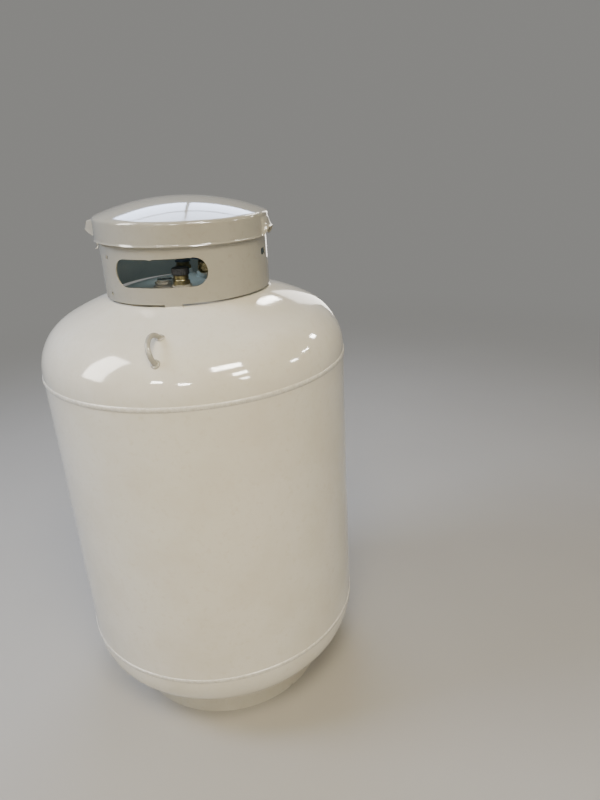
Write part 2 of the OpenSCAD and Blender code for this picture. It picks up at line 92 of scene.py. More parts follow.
# %% [markdown]
# ## Small tools for finishes
# Colours are written as the hex values that a painter would read off a screen, and one function turns them
# into the linear values that the renderer adds up. Every finish is a short tree of nodes, and one function
# adds a node with its settings and inputs and gives back its output. Nearly every finish has soft spots of
# dust or wear and a fine grain, so each of these two patterns has a function, sized by a real length.

# %% Colours, nodes and patterns
COLOURS = {"data_type": "RGBA", "out": 2}  # for a Mix node, which takes its two colours at inputs 6 and 7


def linear(hex_colour):
    """The linear RGBA of an sRGB hex colour such as e8e6df."""
    values = [int(hex_colour[i:i + 2], 16) / 255 for i in (0, 2, 4)]
    return tuple(v / 12.92 if v <= 0.04045 else ((v + 0.055) / 1.055) ** 2.4 for v in values) + (1.0,)


def feed(tree, node, inputs):
    """Sets a node's inputs, each to a number, a colour or the output of another node."""
    for name, value in inputs.items():
        if isinstance(value, bpy.types.NodeSocket):
            tree.links.new(value, node.inputs[name])
        else:
            node.inputs[name].default_value = value


def add(tree, kind, inputs=None, out=0, **settings):
    """Adds one node of the given kind, with its settings and its inputs, and returns one of its outputs."""
    node = tree.nodes.new("ShaderNode" + kind)
    for name, value in settings.items():
        setattr(node, name, value)
    feed(tree, node, inputs or {})
    return node.outputs[out]


def blank_material(name):
    """A material, returned with its tree, its shader and the object's own coordinates."""
    made = bpy.data.materials.new(name)
    made.use_nodes = True
    tree = made.node_tree
    return made, tree, tree.nodes["Principled BSDF"], add(tree, "TexCoord", out="Object")


def spots(tree, place, size_mm, low, high, detail=4.0, roughness=0.6):
    """Soft random spots of a size, as a grey value from 0 beside them to 1 in their middle."""
    cloud = add(tree, "TexNoise", {"Vector": place, "Scale": 1000 / size_mm, "Detail": detail,
                                   "Roughness": roughness})
    return add(tree, "MapRange", {"Value": cloud, "From Min": low, "From Max": high})


def grain(tree, place, size_mm, depth_mm, detail=2.0, roughness=0.5, **under):
    """Random bumps of a size and a depth, over other bumps where those are given as Normal."""
    cloud = add(tree, "TexNoise", {"Vector": place, "Scale": 1000 / size_mm, "Detail": detail,
                                   "Roughness": roughness})
    return add(tree, "Bump", {"Height": cloud, "Distance": depth_mm * MM, **under})


# %% [markdown]
# ## White enamel on steel
# The tank is sprayed in a thick white enamel and baked. That gives a hard gloss that mirrors lamps sharply, a
# fine orange peel of about 3 mm, and under it the long shallow waves of rolled plate, which bend each
# reflection a little. Real peel is a few hundredths of a millimetre deep, and too fine to show from here, so
# it is drawn at 5 mm. Dust settles on the paint as a faint warm grey, and it dulls the gloss in patches of a
# hand's width. The collar, the lid and the lugs get a darker grey copy of the same paint, which is painted
# shade.

# %% White enamel
ENAMEL_IOR = 1.52
PATCH_MM, SPECK_MM = 180, 14
PEEL_MM, PEEL_DEPTH_MM = 5, 0.015
CLEAN_ROUGHNESS, DUSTY_ROUGHNESS = 0.06, 0.15


def white_enamel(name, clean, dusty, wave_mm, wave_depth_mm):
    made, tree, shader, place = blank_material(name)
    dust = spots(tree, place, PATCH_MM, 0.42, 0.75)
    fine_dust = spots(tree, place, SPECK_MM, 0.55, 0.8, detail=3.0)
    patched = add(tree, "Mix", {0: dust, 6: linear(clean), 7: linear(dusty)}, **COLOURS)
    colour = add(tree, "Mix", {0: fine_dust, 6: patched, 7: linear(dusty)}, **COLOURS)
    gloss = add(tree, "MapRange", {"Value": dust, "To Min": CLEAN_ROUGHNESS, "To Max": DUSTY_ROUGHNESS})
    waves = grain(tree, place, wave_mm, wave_depth_mm, detail=1.0)
    peel = grain(tree, place, PEEL_MM, PEEL_DEPTH_MM, Normal=waves)
    feed(tree, shader, {"Base Color": colour, "Roughness": gloss, "IOR": ENAMEL_IOR, "Normal": peel})
    return made


enamel = white_enamel("white_enamel_on_plate", "ece9de", "e3dece", wave_mm=110, wave_depth_mm=0.5)
# a darker grey copy of the white enamel: painted shade on the collar, the lid and the lugs
enamel_painted_shade = white_enamel("darker_white_enamel_as_painted_shade", "aeaca2", "a6a297", wave_mm=110, wave_depth_mm=0.3)
# a slightly darker white for the small fittings; on the foot ring it is painted shade under the head
fittings_enamel_and_foot_shade = white_enamel("white_enamel_on_fittings_and_painted_shade_on_foot", "d9d6ca", "d0cbbb", wave_mm=20, wave_depth_mm=0.1)
print("enamels:", enamel.name, enamel_painted_shade.name, fittings_enamel_and_foot_shade.name)

# %% [markdown]
# ## Paint over a weld
# The same enamel lies over the weld beads, where it bridges the small ripples of each weld pool. The ripples
# are modelled, so this finish only adds pin holes, spatter and the slightly duller skin that paint has on a
# rough base.

# %% Enamel over weld
def weld_enamel():
    made, tree, shader, place = blank_material("white_enamel_on_weld")
    blotch = spots(tree, place, 9, 0.4, 0.75, roughness=0.65)
    colour = add(tree, "Mix", {0: blotch, 6: linear("e8e6de"), 7: linear("d3cec1")}, **COLOURS)
    pin_holes = grain(tree, place, 3, 0.12, detail=3.0, roughness=0.6)
    feed(tree, shader, {"Base Color": colour, "Roughness": 0.27, "IOR": ENAMEL_IOR, "Normal": pin_holes})
    return made


enamel_weld = weld_enamel()
print("over welds:", enamel_weld.name)

# %% [markdown]
# ## Metals
# The valves are forged and turned brass that has dulled in the air: olive brown in the main, yellow where it
# is handled. The bolts are zinc plated steel, pale grey with a faint yellow cast and a grain of about 1 mm. A
# metal's colour is its reflectance, so the shader is fully metallic and the pattern lies in the colour and
# the roughness.

# %% Brass and zinc
BRIGHT_ROUGHNESS = 0.3


def worn_metal(name, bright, dull, stain_mm, dull_roughness, depth_mm):
    made, tree, shader, place = blank_material(name)
    wear = spots(tree, place, stain_mm, 0.35, 0.7, roughness=0.65)
    colour = add(tree, "Mix", {0: wear, 6: linear(bright), 7: linear(dull)}, **COLOURS)
    gloss = add(tree, "MapRange", {"Value": wear, "To Min": BRIGHT_ROUGHNESS, "To Max": dull_roughness})
    skin = grain(tree, place, stain_mm / 4, depth_mm)
    feed(tree, shader, {"Base Color": colour, "Roughness": gloss, "Metallic": 1.0, "Normal": skin})
    return made


brass = worn_metal("aged_forged_brass", "8f8663", "5f5b48", stain_mm=12, dull_roughness=0.5, depth_mm=0.05)
zinc = worn_metal("zinc_plated_steel", "c3c1b6", "908c80", stain_mm=6, dull_roughness=0.48, depth_mm=0.03)
print("metals:", brass.name, zinc.name)

# %% [markdown]
# ## Castings, caps and the dial
# The handwheel is cast aluminium in a dark blue grey enamel, the caps are moulded in a matt black polymer,
# and the gauge has a printed card under a polycarbonate lens. The first three have a grain under 1 mm, drawn
# at 1.5 to 2 mm, and a chalky bloom of dust. The lens is clear, with a haze that only dulls its gloss.

# %% Painted casting, moulded polymer, card and lens
def chalky(name, base, dusty, roughness, grain_mm, depth_mm):
    made, tree, shader, place = blank_material(name)
    bloom = spots(tree, place, 16, 0.45, 0.8)
    colour = add(tree, "Mix", {0: bloom, 6: linear(base), 7: linear(dusty)}, **COLOURS)
    skin = grain(tree, place, grain_mm, depth_mm)
    feed(tree, shader, {"Base Color": colour, "Roughness": roughness, "IOR": 1.5, "Normal": skin})
    return made


def clear_lens():
    made, tree, shader, place = blank_material("clear_polycarbonate")
    haze = spots(tree, place, 8, 0.5, 0.8, detail=3.0, roughness=0.5)
    gloss = add(tree, "MapRange", {"Value": haze, "To Min": 0.03, "To Max": 0.14})
    feed(tree, shader, {"Base Color": linear("f4f6f6"), "Roughness": gloss, "IOR": 1.58,
                        "Transmission Weight": 1.0})
    return made


wheel_enamel = chalky("dark_enamel_on_casting", "2b3140", "464b57", 0.42, grain_mm=2, depth_mm=0.08)
cap_polymer = chalky("moulded_black_polymer", "22262d", "3d4047", 0.5, grain_mm=1.5, depth_mm=0.04)
dial_card = chalky("printed_dial_card", "e9e7df", "dcd8cc", 0.55, grain_mm=1.5, depth_mm=0.01)
lens_polymer = clear_lens()

print("finishes:", len(bpy.data.materials))

# %% [markdown]
# ## Tools for meshes
# Most of the tank is turned or rolled, so two tools make nearly all of it. One spins a half section round
# the tank's axis. The other turns a finished bmesh into a piece that rides on a body of the model. Sharp
# edges are marked by the angle between faces, so broad surfaces shade smoothly and sheet edges stay crisp.

# %% Turn a bmesh into a piece
SMOOTH_BELOW = radians(32)
SAME_POINT = 1e-6


def piece(name, mesh, material, *nodes, body="tank", slot=None, wall_mm=0.0, bevel_mm=0.0):
    """Finishes a bmesh as one piece of the tank, in the place of any nodes that are named."""
    bmesh.ops.recalc_face_normals(mesh, faces=mesh.faces)
    for edge in mesh.edges:
        edge.smooth = edge.calc_face_angle(0.0) < SMOOTH_BELOW
    for face in mesh.faces:
        face.smooth = True
    data = bpy.data.meshes.new(name)
    mesh.to_mesh(data)
    mesh.free()
    data.materials.append(material)
    made = in_scene(name, data)
    if wall_mm:
        wall = made.modifiers.new("wall", "SOLIDIFY")
        wall.thickness = wall_mm * MM
        wall.offset = -1.0
    if bevel_mm:
        edge_round = made.modifiers.new("edge_round", "BEVEL")
        edge_round.width = bevel_mm * MM
        edge_round.segments = 2
        edge_round.limit_method = "ANGLE"
        edge_round.angle_limit = SMOOTH_BELOW
        edge_round.harden_normals = True
    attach(made, body)
    if nodes:
        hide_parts(*nodes)
    print(f"{name}: {len(data.vertices)} vertices, {len(data.polygons)} faces")


def arc(centre, radius, start, end, steps):
    """Points on an arc of a half section, as (distance from the axis, height), with angles in degrees."""
    turns = [radians(start + (end - start) * i / steps) for i in range(steps + 1)]
    return [(centre[0] + radius * cos(t), centre[1] + radius * sin(t)) for t in turns]


def spun(section, steps, closed=True):
    """Spins a half section of millimetre points round the upright axis."""
    mesh = bmesh.new()
    verts = [mesh.verts.new((r * MM, 0, z * MM)) for r, z in section]
    pairs = list(zip(verts, verts[1:] + verts[:1])) if closed else list(zip(verts, verts[1:]))
    edges = [mesh.edges.new(pair) for pair in pairs]
    bmesh.ops.spin(mesh, geom=verts + edges, axis=UP, cent=(0, 0, 0), steps=steps, angle=2 * pi,
                   use_merge=True, use_duplicate=False)
    bmesh.ops.remove_doubles(mesh, verts=mesh.verts, dist=SAME_POINT)
    return mesh


def out_of_tank(turn):
    """The level direction that points out of the tank at a turn in degrees, 0 at the window."""
    return Vector((sin(radians(turn)), -cos(radians(turn)), 0))


def along_wall(turn):
    """The level direction along the wall at a turn, towards growing turns."""
    return Vector((cos(radians(turn)), sin(radians(turn)), 0))


def tank_point(turn, radius, height):
    """The point at a turn, a distance from the tank's axis and a height over the floor."""
    return out_of_tank(turn) * radius * MM + UP * (height * MM)


def heights(node, base=0.0):
    """Lowest and highest point of a node over a base."""
    return [corner.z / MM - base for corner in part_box(node)]


# %% [markdown]
# ## Shell and heads
# The shell is one plate rolled to a cylinder. Each head is pressed from a disc: a wide crown, a tight knuckle
# and a short straight flange. Arcs of the real radii give the long soft highlight over the shoulder, which a
# stretched sphere would get wrong. The pieces are hollow, with the wall's real thickness.

# %% Shell and heads
SHELL_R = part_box("shell")[1].x / MM
LOW_WELD_Z, TOP_WELD_Z = heights("shell")
WALL = 4.5
CROWN_R = 686.0
KNUCKLE_R = 130.0
FLANGE = 10.0
TURN_STEPS = 300

KNUCKLE_AT = SHELL_R - KNUCKLE_R
CROWN_DROP = sqrt((CROWN_R - KNUCKLE_R) ** 2 - KNUCKLE_AT ** 2)
CROWN_EDGE = degrees(atan2(CROWN_DROP, KNUCKLE_AT))


def head_height(r):
    """Height of a head's outside over its weld, at a distance from the axis."""
    if r < KNUCKLE_AT * CROWN_R / (CROWN_R - KNUCKLE_R):
        return FLANGE + sqrt(CROWN_R ** 2 - r * r) - CROWN_DROP
    return FLANGE + sqrt(KNUCKLE_R ** 2 - (r - KNUCKLE_AT) ** 2)


def head_z(r):
    """Height of the top head's outside over the floor, at a distance from the axis."""
    return TOP_WELD_Z + head_height(r)


def head_face(inset, knuckle_steps, crown_steps):
    """One face of a head's wall, set in from the outside, as points from its weld to the axis."""
    return ([(SHELL_R - inset, 0.0)]
            + arc((KNUCKLE_AT, FLANGE), KNUCKLE_R - inset, 0, CROWN_EDGE, knuckle_steps)
            + arc((0, FLANGE - CROWN_DROP), CROWN_R - inset, CROWN_EDGE, 90, crown_steps)[1:])


def head_section(weld_z, side):
    """Closed half section of a head that crowns up (side 1) or down (side -1) from its weld."""
    return [(r, weld_z + side * z) for r, z in head_face(0, 30, 34) + head_face(WALL, 12, 14)[::-1]]


shell_section = [(SHELL_R, LOW_WELD_Z), (SHELL_R, TOP_WELD_Z), (SHELL_R - WALL, TOP_WELD_Z),
                 (SHELL_R - WALL, LOW_WELD_Z)]
piece("rolled_shell", spun(shell_section, TURN_STEPS), enamel, "shell")
piece("pressed_top_head", spun(head_section(TOP_WELD_Z, 1), TURN_STEPS), enamel, "top_head")
piece("pressed_bottom_head", spun(head_section(LOW_WELD_Z, -1), TURN_STEPS), enamel, "bottom_head")

# %% [markdown]
# ## Weld beads
# A weld is a row of frozen ripples, one for each small step of the torch. A texture would vanish along the
# outline, so the beads are modelled: a flat grid is closed to a tube, laid along a path, and each point is
# lifted by the ripples. They bow backwards like fish scales, and a little noise keeps the height and the edge
# from looking turned. Ripples of 2 mm would vanish from here, so they are drawn 4 mm apart.

# %% Lay one bead along a path
RIPPLE = 4.0
RIPPLE_DEPTH = 0.16
RIPPLE_BOW = 0.9
WANDER_MM = 9
WANDER_RISE, WANDER_WIDTH = 0.14, 0.08
STEPS_PER_RIPPLE = 4
BEAD_SIDES = 10


def bead(mesh, frame_at, length, half, rise, closed=False):
    """Lays a weld bead; frame_at turns 0 to 1 into a point, the way out of the metal and the way across."""
    ripples = max(2, round(length / RIPPLE))
    tube = bmesh.ops.create_grid(mesh, x_segments=ripples * STEPS_PER_RIPPLE, y_segments=BEAD_SIDES,
                                 size=0.5)["verts"]
    for vert in tube:
        along, around = vert.co.x + 0.5, 2 * pi * (vert.co.y + 0.5)
        place, out, across = frame_at(along)
        from_end = min(along, 1 - along) * length
        taper = 1.0 if closed else sqrt(min(1.0, from_end / half))
        ripple = abs(sin(pi * (along * ripples - RIPPLE_BOW * sin(around) ** 2)))
        wander = noise.noise(place / (WANDER_MM * MM))
        swell = 1 - RIPPLE_DEPTH + RIPPLE_DEPTH * ripple + WANDER_RISE * wander
        lift = rise * taper * swell * sin(around)
        reach = half * taper * (1 + WANDER_WIDTH * wander) * cos(around)
        vert.co = place + (out * (lift if lift > 0 else lift / 2) + across * reach) * MM
    bmesh.ops.remove_doubles(mesh, verts=tube, dist=SAME_POINT)


def round_tank(radius, height, start=0.0, span=360.0, out=(1.0, 0.0)):
    """A path round the tank's axis, for a bead that faces along a slope of (level, upright)."""
    def frame_at(along):
        level = out_of_tank(start + span * along)
        place = level * radius * MM + UP * height * MM
        return place, level * out[0] + UP * out[1], UP * out[0] - level * out[1]
    return frame_at


def round_post(centre, radius, post=UP, lean=0.7):
    """A path round a post that stands on the top head, for a fillet in its corner."""
    first = post.orthogonal().normalized()
    second = post.cross(first)

    def frame_at(along):
        way = first * cos(2 * pi * along) + second * sin(2 * pi * along)
        place = centre + way * radius * MM
        for _ in range(4):  # a few passes bring the point down onto the curved head
            place -= post * post.z * (place.z - head_z(hypot(place.x, place.y) / MM) * MM)
        out = (way * lean + post).normalized()
        return place, out, out.cross(way.cross(post)).normalized()
    return frame_at


# %% [markdown]
# ## Girth welds and the long seam
# The heads are welded to the shell with one bead each, 12 mm wide, and the plate's own edges meet in a long
# seam. The two girth beads catch the light as thin bright rings, which shows from a distance how the tank is
# made.

# %% Welds of the vessel
BEAD_HALF = 6.0
BEAD_RISE = 2.5
SEAM_TURN = -81.0


def along_seam(along):
    """The path of the long seam, as round_tank gives those of the girth welds."""
    place = tank_point(SEAM_TURN, SHELL_R, LOW_WELD_Z + (TOP_WELD_Z - LOW_WELD_Z) * along)
    return place, out_of_tank(SEAM_TURN), along_wall(SEAM_TURN)


for side, weld_z in (("upper", TOP_WELD_Z), ("lower", LOW_WELD_Z)):
    ring = bmesh.new()
    bead(ring, round_tank(SHELL_R, weld_z), 2 * pi * SHELL_R, BEAD_HALF, BEAD_RISE, closed=True)
    piece(side + "_girth_bead", ring, enamel_weld, side + "_girth_weld")
seam = bmesh.new()
bead(seam, along_seam, TOP_WELD_Z - LOW_WELD_Z, BEAD_HALF, BEAD_RISE)
piece("long_seam_bead", seam, enamel_weld, "seam_weld")

# %% [markdown]
# ## Sheet that is cut flat and then rolled
# The foot ring and the valve collar are both made the same way in a workshop: a strip is cut with all its
# holes while it is flat, and then it is rolled and its ends are welded. The mesh is made in the same order.
# Its outline and its holes are filled, cut into narrow columns so that it can bend, given its thickness, and
# wrapped round the axis. Cutting holes into a finished tube would need booleans, which leave ragged shading
# round each hole.

# %% Cut, bend and close a strip
SLIVER = 0.5


def slot_outline(along, height, half, radius, steps=12):
    """Outline of a hole with round ends on the flat strip; a half length of 0 makes it round."""
    return [(along + side * half + radius * cos(turn), height + radius * sin(turn))
            for side, first in ((1, -90), (-1, 90))
            for turn in (radians(first + 180 * i / steps) for i in range(steps + (half > 0)))]


def toothed_edge(half, base, tip, centres, tooth_half, corner):
    """An edge from left to right that steps out to each tooth, with a round in each inner corner."""
    way = corner if tip > base else -corner
    turns = [radians(15 * i) for i in range(7)]
    edge = [(-half, base)]
    for centre in centres:
        for side in (-1, 1):
            wall = [(centre + side * (tooth_half + corner * (1 - sin(t))), base + way * (1 - cos(t)))
                    for t in turns] + [(centre + side * tooth_half, tip)]
            edge += wall if side < 0 else wall[::-1]
    return edge + [(half, base)]


def filled(outline, holes=()):
    """A flat sheet of faces inside an outline and outside its holes."""
    sheet = bmesh.new()
    for loop in (outline, *holes):
        verts = [sheet.verts.new((x * MM, y * MM, 0)) for x, y in loop]
        for pair in zip(verts, verts[1:] + verts[:1]):
            sheet.edges.new(pair)
    bmesh.ops.triangle_fill(sheet, edges=sheet.edges[:], use_beauty=True, normal=UP)
    return sheet


def thicken(sheet, thickness):
    """Gives a flat sheet its thickness, downwards."""
    grown = bmesh.ops.extrude_face_region(sheet, geom=sheet.faces[:])["geom"]
    lower = [part for part in grown if isinstance(part, bmesh.types.BMVert)]
    bmesh.ops.translate(sheet, verts=lower, vec=(0, 0, -thickness * MM))


def rolled(outline, holes, radius, thickness, zero_turn, column):
    """A strip rolled round the tank's axis, with its outside at the radius and its middle at a turn."""
    sheet = filled(outline, holes)
    half = pi * radius
    for i in range(1, round(2 * half / column)):
        bmesh.ops.bisect_plane(sheet, geom=sheet.verts[:] + sheet.edges[:] + sheet.faces[:],
                               plane_co=((-half + i * column) * MM, 0, 0), plane_no=(1, 0, 0))
    bmesh.ops.remove_doubles(sheet, verts=sheet.verts, dist=SLIVER * MM)
    thicken(sheet, thickness)
    ends = [face for face in sheet.faces if all(abs(vert.co.x) > (half - 0.01) * MM for vert in face.verts)]
    bmesh.ops.delete(sheet, geom=ends, context="FACES_ONLY")
    for vert in sheet.verts:
        turn = zero_turn + degrees(vert.co.x / (radius * MM))
        vert.co = out_of_tank(turn) * (radius * MM + vert.co.z) + UP * vert.co.y
    bmesh.ops.remove_doubles(sheet, verts=sheet.verts, dist=SAME_POINT)
    return sheet


# %% [markdown]
# ## Foot ring
# A strip of 5 mm steel in the slightly darker white of the small fittings, which here is painted shade
# under the head. Four long vents are cut into its top edge, so
# that water can't stand between the ring and the head, and four small notches in its lower rim let it drain.
# In the photograph it measures about 555 mm across, 15 mm more than in the plain model, and is drawn so.

# %% Foot ring and its welds
FOOT_R = 277.5
FOOT_T = 5.0
FOOT_EDGE = 0.7
VENT_COUNT = 4
VENT_SPAN = 66.0
VENT_TURN = -45.0
VENT_DEPTH = 13.0
VENT_CORNER = 4.0
NOTCH_HALF = 7.0
NOTCH_TURN = -36.0
NOTCH_FLAT = 1.0
FOOT_WELD_HALF, FOOT_WELD_RISE = 4.0, 3.0
FOOT_WELD_OUT = 1.0
FOOT_WELD_OVERRUN = 1.0
FOOT_COLUMN = 10.0

foot_top = LOW_WELD_Z - head_height(FOOT_R)
foot_zero = VENT_TURN + 90
quarter = 2 * pi * FOOT_R / VENT_COUNT
web_half = (90 - VENT_SPAN) / 2 * pi / 180 * FOOT_R
web_centres = [(i - 1.5) * quarter for i in range(VENT_COUNT)]
top_edge = toothed_edge(pi * FOOT_R, foot_top - VENT_DEPTH, foot_top, web_centres, web_half, VENT_CORNER)
notch_top = NOTCH_HALF - NOTCH_FLAT
notch = [(-NOTCH_HALF, 0), (-NOTCH_FLAT, notch_top), (NOTCH_FLAT, notch_top), (NOTCH_HALF, 0)]
rim = [(-pi * FOOT_R, 0.0)]
for place in sorted((radians(NOTCH_TURN + 90 * i - foot_zero) + pi) % (2 * pi) - pi for i in range(4)):
    rim += [(place * FOOT_R + along, height) for along, height in notch]
rim += [(pi * FOOT_R, 0.0)]
# the slightly darker enamel paints the shade under the head onto the ring
piece("foot_ring_strip", rolled(rim + top_edge[::-1], [], FOOT_R, FOOT_T, foot_zero, FOOT_COLUMN),
      fittings_enamel_and_foot_shade, "foot_ring", bevel_mm=FOOT_EDGE)

foot_beads = bmesh.new()
span = 90 - VENT_SPAN + FOOT_WELD_OVERRUN
for i in range(VENT_COUNT):
    web_turn = VENT_TURN + (i + 0.5) * 90
    path = round_tank(FOOT_R + FOOT_WELD_OUT, foot_top + FOOT_WELD_OUT, web_turn - span / 2, span,
                      out=(0.8, -0.6))
    bead(foot_beads, path, radians(span) * FOOT_R, FOOT_WELD_HALF, FOOT_WELD_RISE)
piece("foot_fillet_beads", foot_beads, enamel_weld, "foot_welds")

# %% [markdown]
# ## Valve collar
# The collar is 3 mm sheet, rolled to 402 mm across. It stands on four short legs only, so a thin dark gap
# runs round under it. The long window shows the gauge and lets a hand in, the four round holes carry a
# regulator's bracket, and the small slot is for a padlock. The cutter left a small dip in the window's top
# edge where its cut started. The strip bends in columns of one degree, which also meet the legs' edges.

# %% Collar
COLLAR_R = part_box("collar_right_plate")[1].x / MM
COLLAR_TOP = heights("collar_front_plate")[1]
COLLAR_T = 3.0
COLLAR_Z = COLLAR_TOP - 169.0
WINDOW_HALF = 23.5
WINDOW_H = 63.0
WINDOW_Z = COLLAR_Z + 70.0
LEG_TURN = 8.5
LEG_SPAN = 11.0
LEG_CORNER = 2.0
LEG_SINK = 1.0
GAP_RAISE = 1.5
HOLE_D = 9.5
HOLE_TURN = -60.0
HOLE_PITCH = 127.0
HOLE_ROWS = 82.5
HOLE_Z = COLLAR_Z + 60.0
SLOT_TURN = 84.0
SLOT_W, SLOT_H = 30.0, 16.0
SLOT_Z = COLLAR_Z + 87.0
DIP_AT, DIP_WIDE, DIP_DEEP = -12.0, 9.0, 2.0
COLLAR_WELD_OUT = 0.6
COLLAR_WELD_OVERRUN = 0.2
COLLAR_WELD_HALF, COLLAR_WELD_RISE = 2.6, 2.2


def on_collar(turn):
    """Distance along the flat strip of the collar at a turn."""
    return radians(turn) * COLLAR_R


window = slot_outline(0, WINDOW_Z, on_collar(WINDOW_HALF), WINDOW_H / 2, 20)
window_top = WINDOW_Z + WINDOW_H / 2
dip_start = next(i for i, (along, z) in enumerate(window) if along > 0 and abs(z - window_top) < 0.01)
window[dip_start + 1:dip_start + 1] = [
    (DIP_AT - DIP_WIDE * share, window_top - DIP_DEEP * cos(pi / 2 * share) ** 2)
    for share in (i / 4 - 1 for i in range(9))]
hole_out = asin(HOLE_PITCH / 2 / COLLAR_R) * COLLAR_R
bracket_holes = [slot_outline(on_collar(HOLE_TURN) + side * hole_out, HOLE_Z + row * HOLE_ROWS / 2, 0,
                              HOLE_D / 2, 10) for side in (-1, 1) for row in (-1, 1)]
padlock_slot = slot_outline(on_collar(SLOT_TURN), SLOT_Z, (SLOT_W - SLOT_H) / 2, SLOT_H / 2)
leg_end = head_z(COLLAR_R) - LEG_SINK
legs = [on_collar(LEG_TURN + 90 * i) for i in range(-2, 2)]
leg_half = on_collar(LEG_SPAN / 2)
lower_edge = toothed_edge(pi * COLLAR_R, COLLAR_Z + GAP_RAISE, leg_end, legs, leg_half, LEG_CORNER)
collar_outline = lower_edge + [(pi * COLLAR_R, COLLAR_TOP), (-pi * COLLAR_R, COLLAR_TOP)]
collar = rolled(collar_outline, [window, *bracket_holes, padlock_slot], COLLAR_R, COLLAR_T, 0, on_collar(1))
# the darker grey enamel paints the shade that lies on the collar
piece("collar_strip", collar, enamel_painted_shade, "collar_front_plate", "collar_right_plate", "collar_rear_plate",
      "collar_left_plate", bevel_mm=0.5)

collar_beads = bmesh.new()
weld_r, weld_span = COLLAR_R + COLLAR_WELD_OUT, LEG_SPAN + COLLAR_WELD_OVERRUN
for i in range(4):
    path = round_tank(weld_r, head_z(weld_r), LEG_TURN + 90 * i - weld_span / 2, weld_span, out=(0.6, 0.8))
    bead(collar_beads, path, 2 * leg_half, COLLAR_WELD_HALF, COLLAR_WELD_RISE)
piece("collar_foot_beads", collar_beads, enamel_weld, "collar_foot_welds")

# %% [markdown]
# ## Lid
# The lid is pressed from one sheet of 2 mm: a dome, a rounded shoulder and a skirt with two hoods. The
# photograph shows a skirt about 10 mm taller under a flatter dome than the plain model has, and a lid that
# sits askew, high at its hinge. Both are drawn that way, between the same lowest and highest points.

# %% Lid
LID_T = 2.0
LID_CLEAR = 5.0
LID_R = COLLAR_R + LID_CLEAR + LID_T
SHOULDER_R = 8.0
SKIRT_H = 45.0
SKIRT_ROWS = 34
LID_ASKEW = radians(1.5)
EDGE_FLARE, FLARE_FROM = 1.4, 0.86

SKIRT_Z, LID_TOP = heights("lid")
SKIRT_TOP = SKIRT_Z + SKIRT_H
shoulder_at = LID_R - SHOULDER_R
dome_h = LID_TOP - SKIRT_TOP
DOME_R = (shoulder_at ** 2 + dome_h ** 2 - SHOULDER_R ** 2) / (2 * (dome_h - SHOULDER_R))
dome_drop = DOME_R - dome_h
dome_edge = degrees(atan2(dome_drop, shoulder_at))

# %% [markdown]
# ## The lid's hoods
# A deep hood with a straight leaning face covers the hinge, and a shallow one with a hollow face covers the
# padlock slot. The half section is spun in four sectors, with narrow steps only at the hoods. There the rows
# of the skirt are drawn outwards, as the press does it: the upper rows into the roof, down to a fold, and the
# lower rows into the face, down to its lip. Averaging each point with its neighbours on the path rounds the
# fold. The sheet's thickness comes last, by Solidify.

# %% Hoods
HINGE_TURN = -92.0
HINGE_REACH, HINGE_RISE = 38.0, 17.0
HOOD_DROP = 2.0
HOOD_SLOPE = 7.0
HOOD_LEAN = radians(14)
CORNER_SOFT, ROOT_SOFT = 3.0, 0.75
FOLD_SOFT, FOLD_SAMPLES = 2.0, 7
ROOT_INSIDE, FACE_INSIDE = 16, 5
HOOD_SECTOR = 34.0

hood_z = SKIRT_TOP - HOOD_DROP
hinge_fold = 1 - (hood_z - HOOD_SLOPE - SKIRT_Z - HINGE_RISE) * tan(HOOD_LEAN) / HINGE_REACH
# each hood's reach at its lip, half width at its face and root, rise of its lip, share of the reach at its
# fold, and how sharply its face flares
HOODS = {
    HINGE_TURN: dict(reach=HINGE_REACH, face=28.0, root=48.0, rise=HINGE_RISE, fold=hinge_fold, flare=1.0),
    HINGE_TURN + 180: dict(reach=13.0, face=26.0, root=38.0, rise=20.0, fold=0.4, flare=2.5)}


def hood_plan(turn):
    """The nearer hood, and how far it stands out of the skirt at a turn."""
    aside, centre = min((radians(abs((turn - centre + 180) % 360 - 180)), centre) for centre in HOODS)
    hood = HOODS[centre]
    taper = (hood["root"] - hood["face"]) / (hood["reach"] + ROOT_INSIDE - FACE_INSIDE)
    flank = (hood["root"] + taper * (LID_R - ROOT_INSIDE)) / (sin(aside) + taper * cos(aside)) - LID_R
    corner = -CORNER_SOFT * log(exp(-hood["reach"] / CORNER_SOFT) + exp(-flank / CORNER_SOFT))
    return hood, ROOT_SOFT * log(1 + exp(corner / ROOT_SOFT))


def hood_point(share, hood, reach):
    """Point (out of the skirt, height) at a share of the way down it, where the hood stands out by reach."""
    fold = (reach * hood["fold"], hood_z - HOOD_SLOPE * reach / hood["reach"])
    lip = (reach, SKIRT_Z + hood["rise"] * (reach / hood["reach"]) ** 2)
    roof, face = hypot(fold[0], hood_z - fold[1]), hypot(lip[0] - fold[0], fold[1] - lip[1])
    step = min(FOLD_SOFT, (1 - share) * (roof + face) / 3)
    out, height = EDGE_FLARE * max(0.0, share - FLARE_FROM) ** 2 / (1 - FLARE_FROM) ** 2, 0.0
    for i in range(FOLD_SAMPLES):
        travelled = max(0.0, share * (roof + face) + (i - FOLD_SAMPLES // 2) * step)
        over_roof = min(1.0, travelled / roof) if roof > 1e-6 else 1.0
        down_face = max(0.0, travelled - roof) / face
        out += (fold[0] * over_roof + (lip[0] - fold[0]) * down_face ** hood["flare"]) / FOLD_SAMPLES
        height += (hood_z - (hood_z - fold[1]) * over_roof - (fold[1] - lip[1]) * down_face) / FOLD_SAMPLES
    return out, height


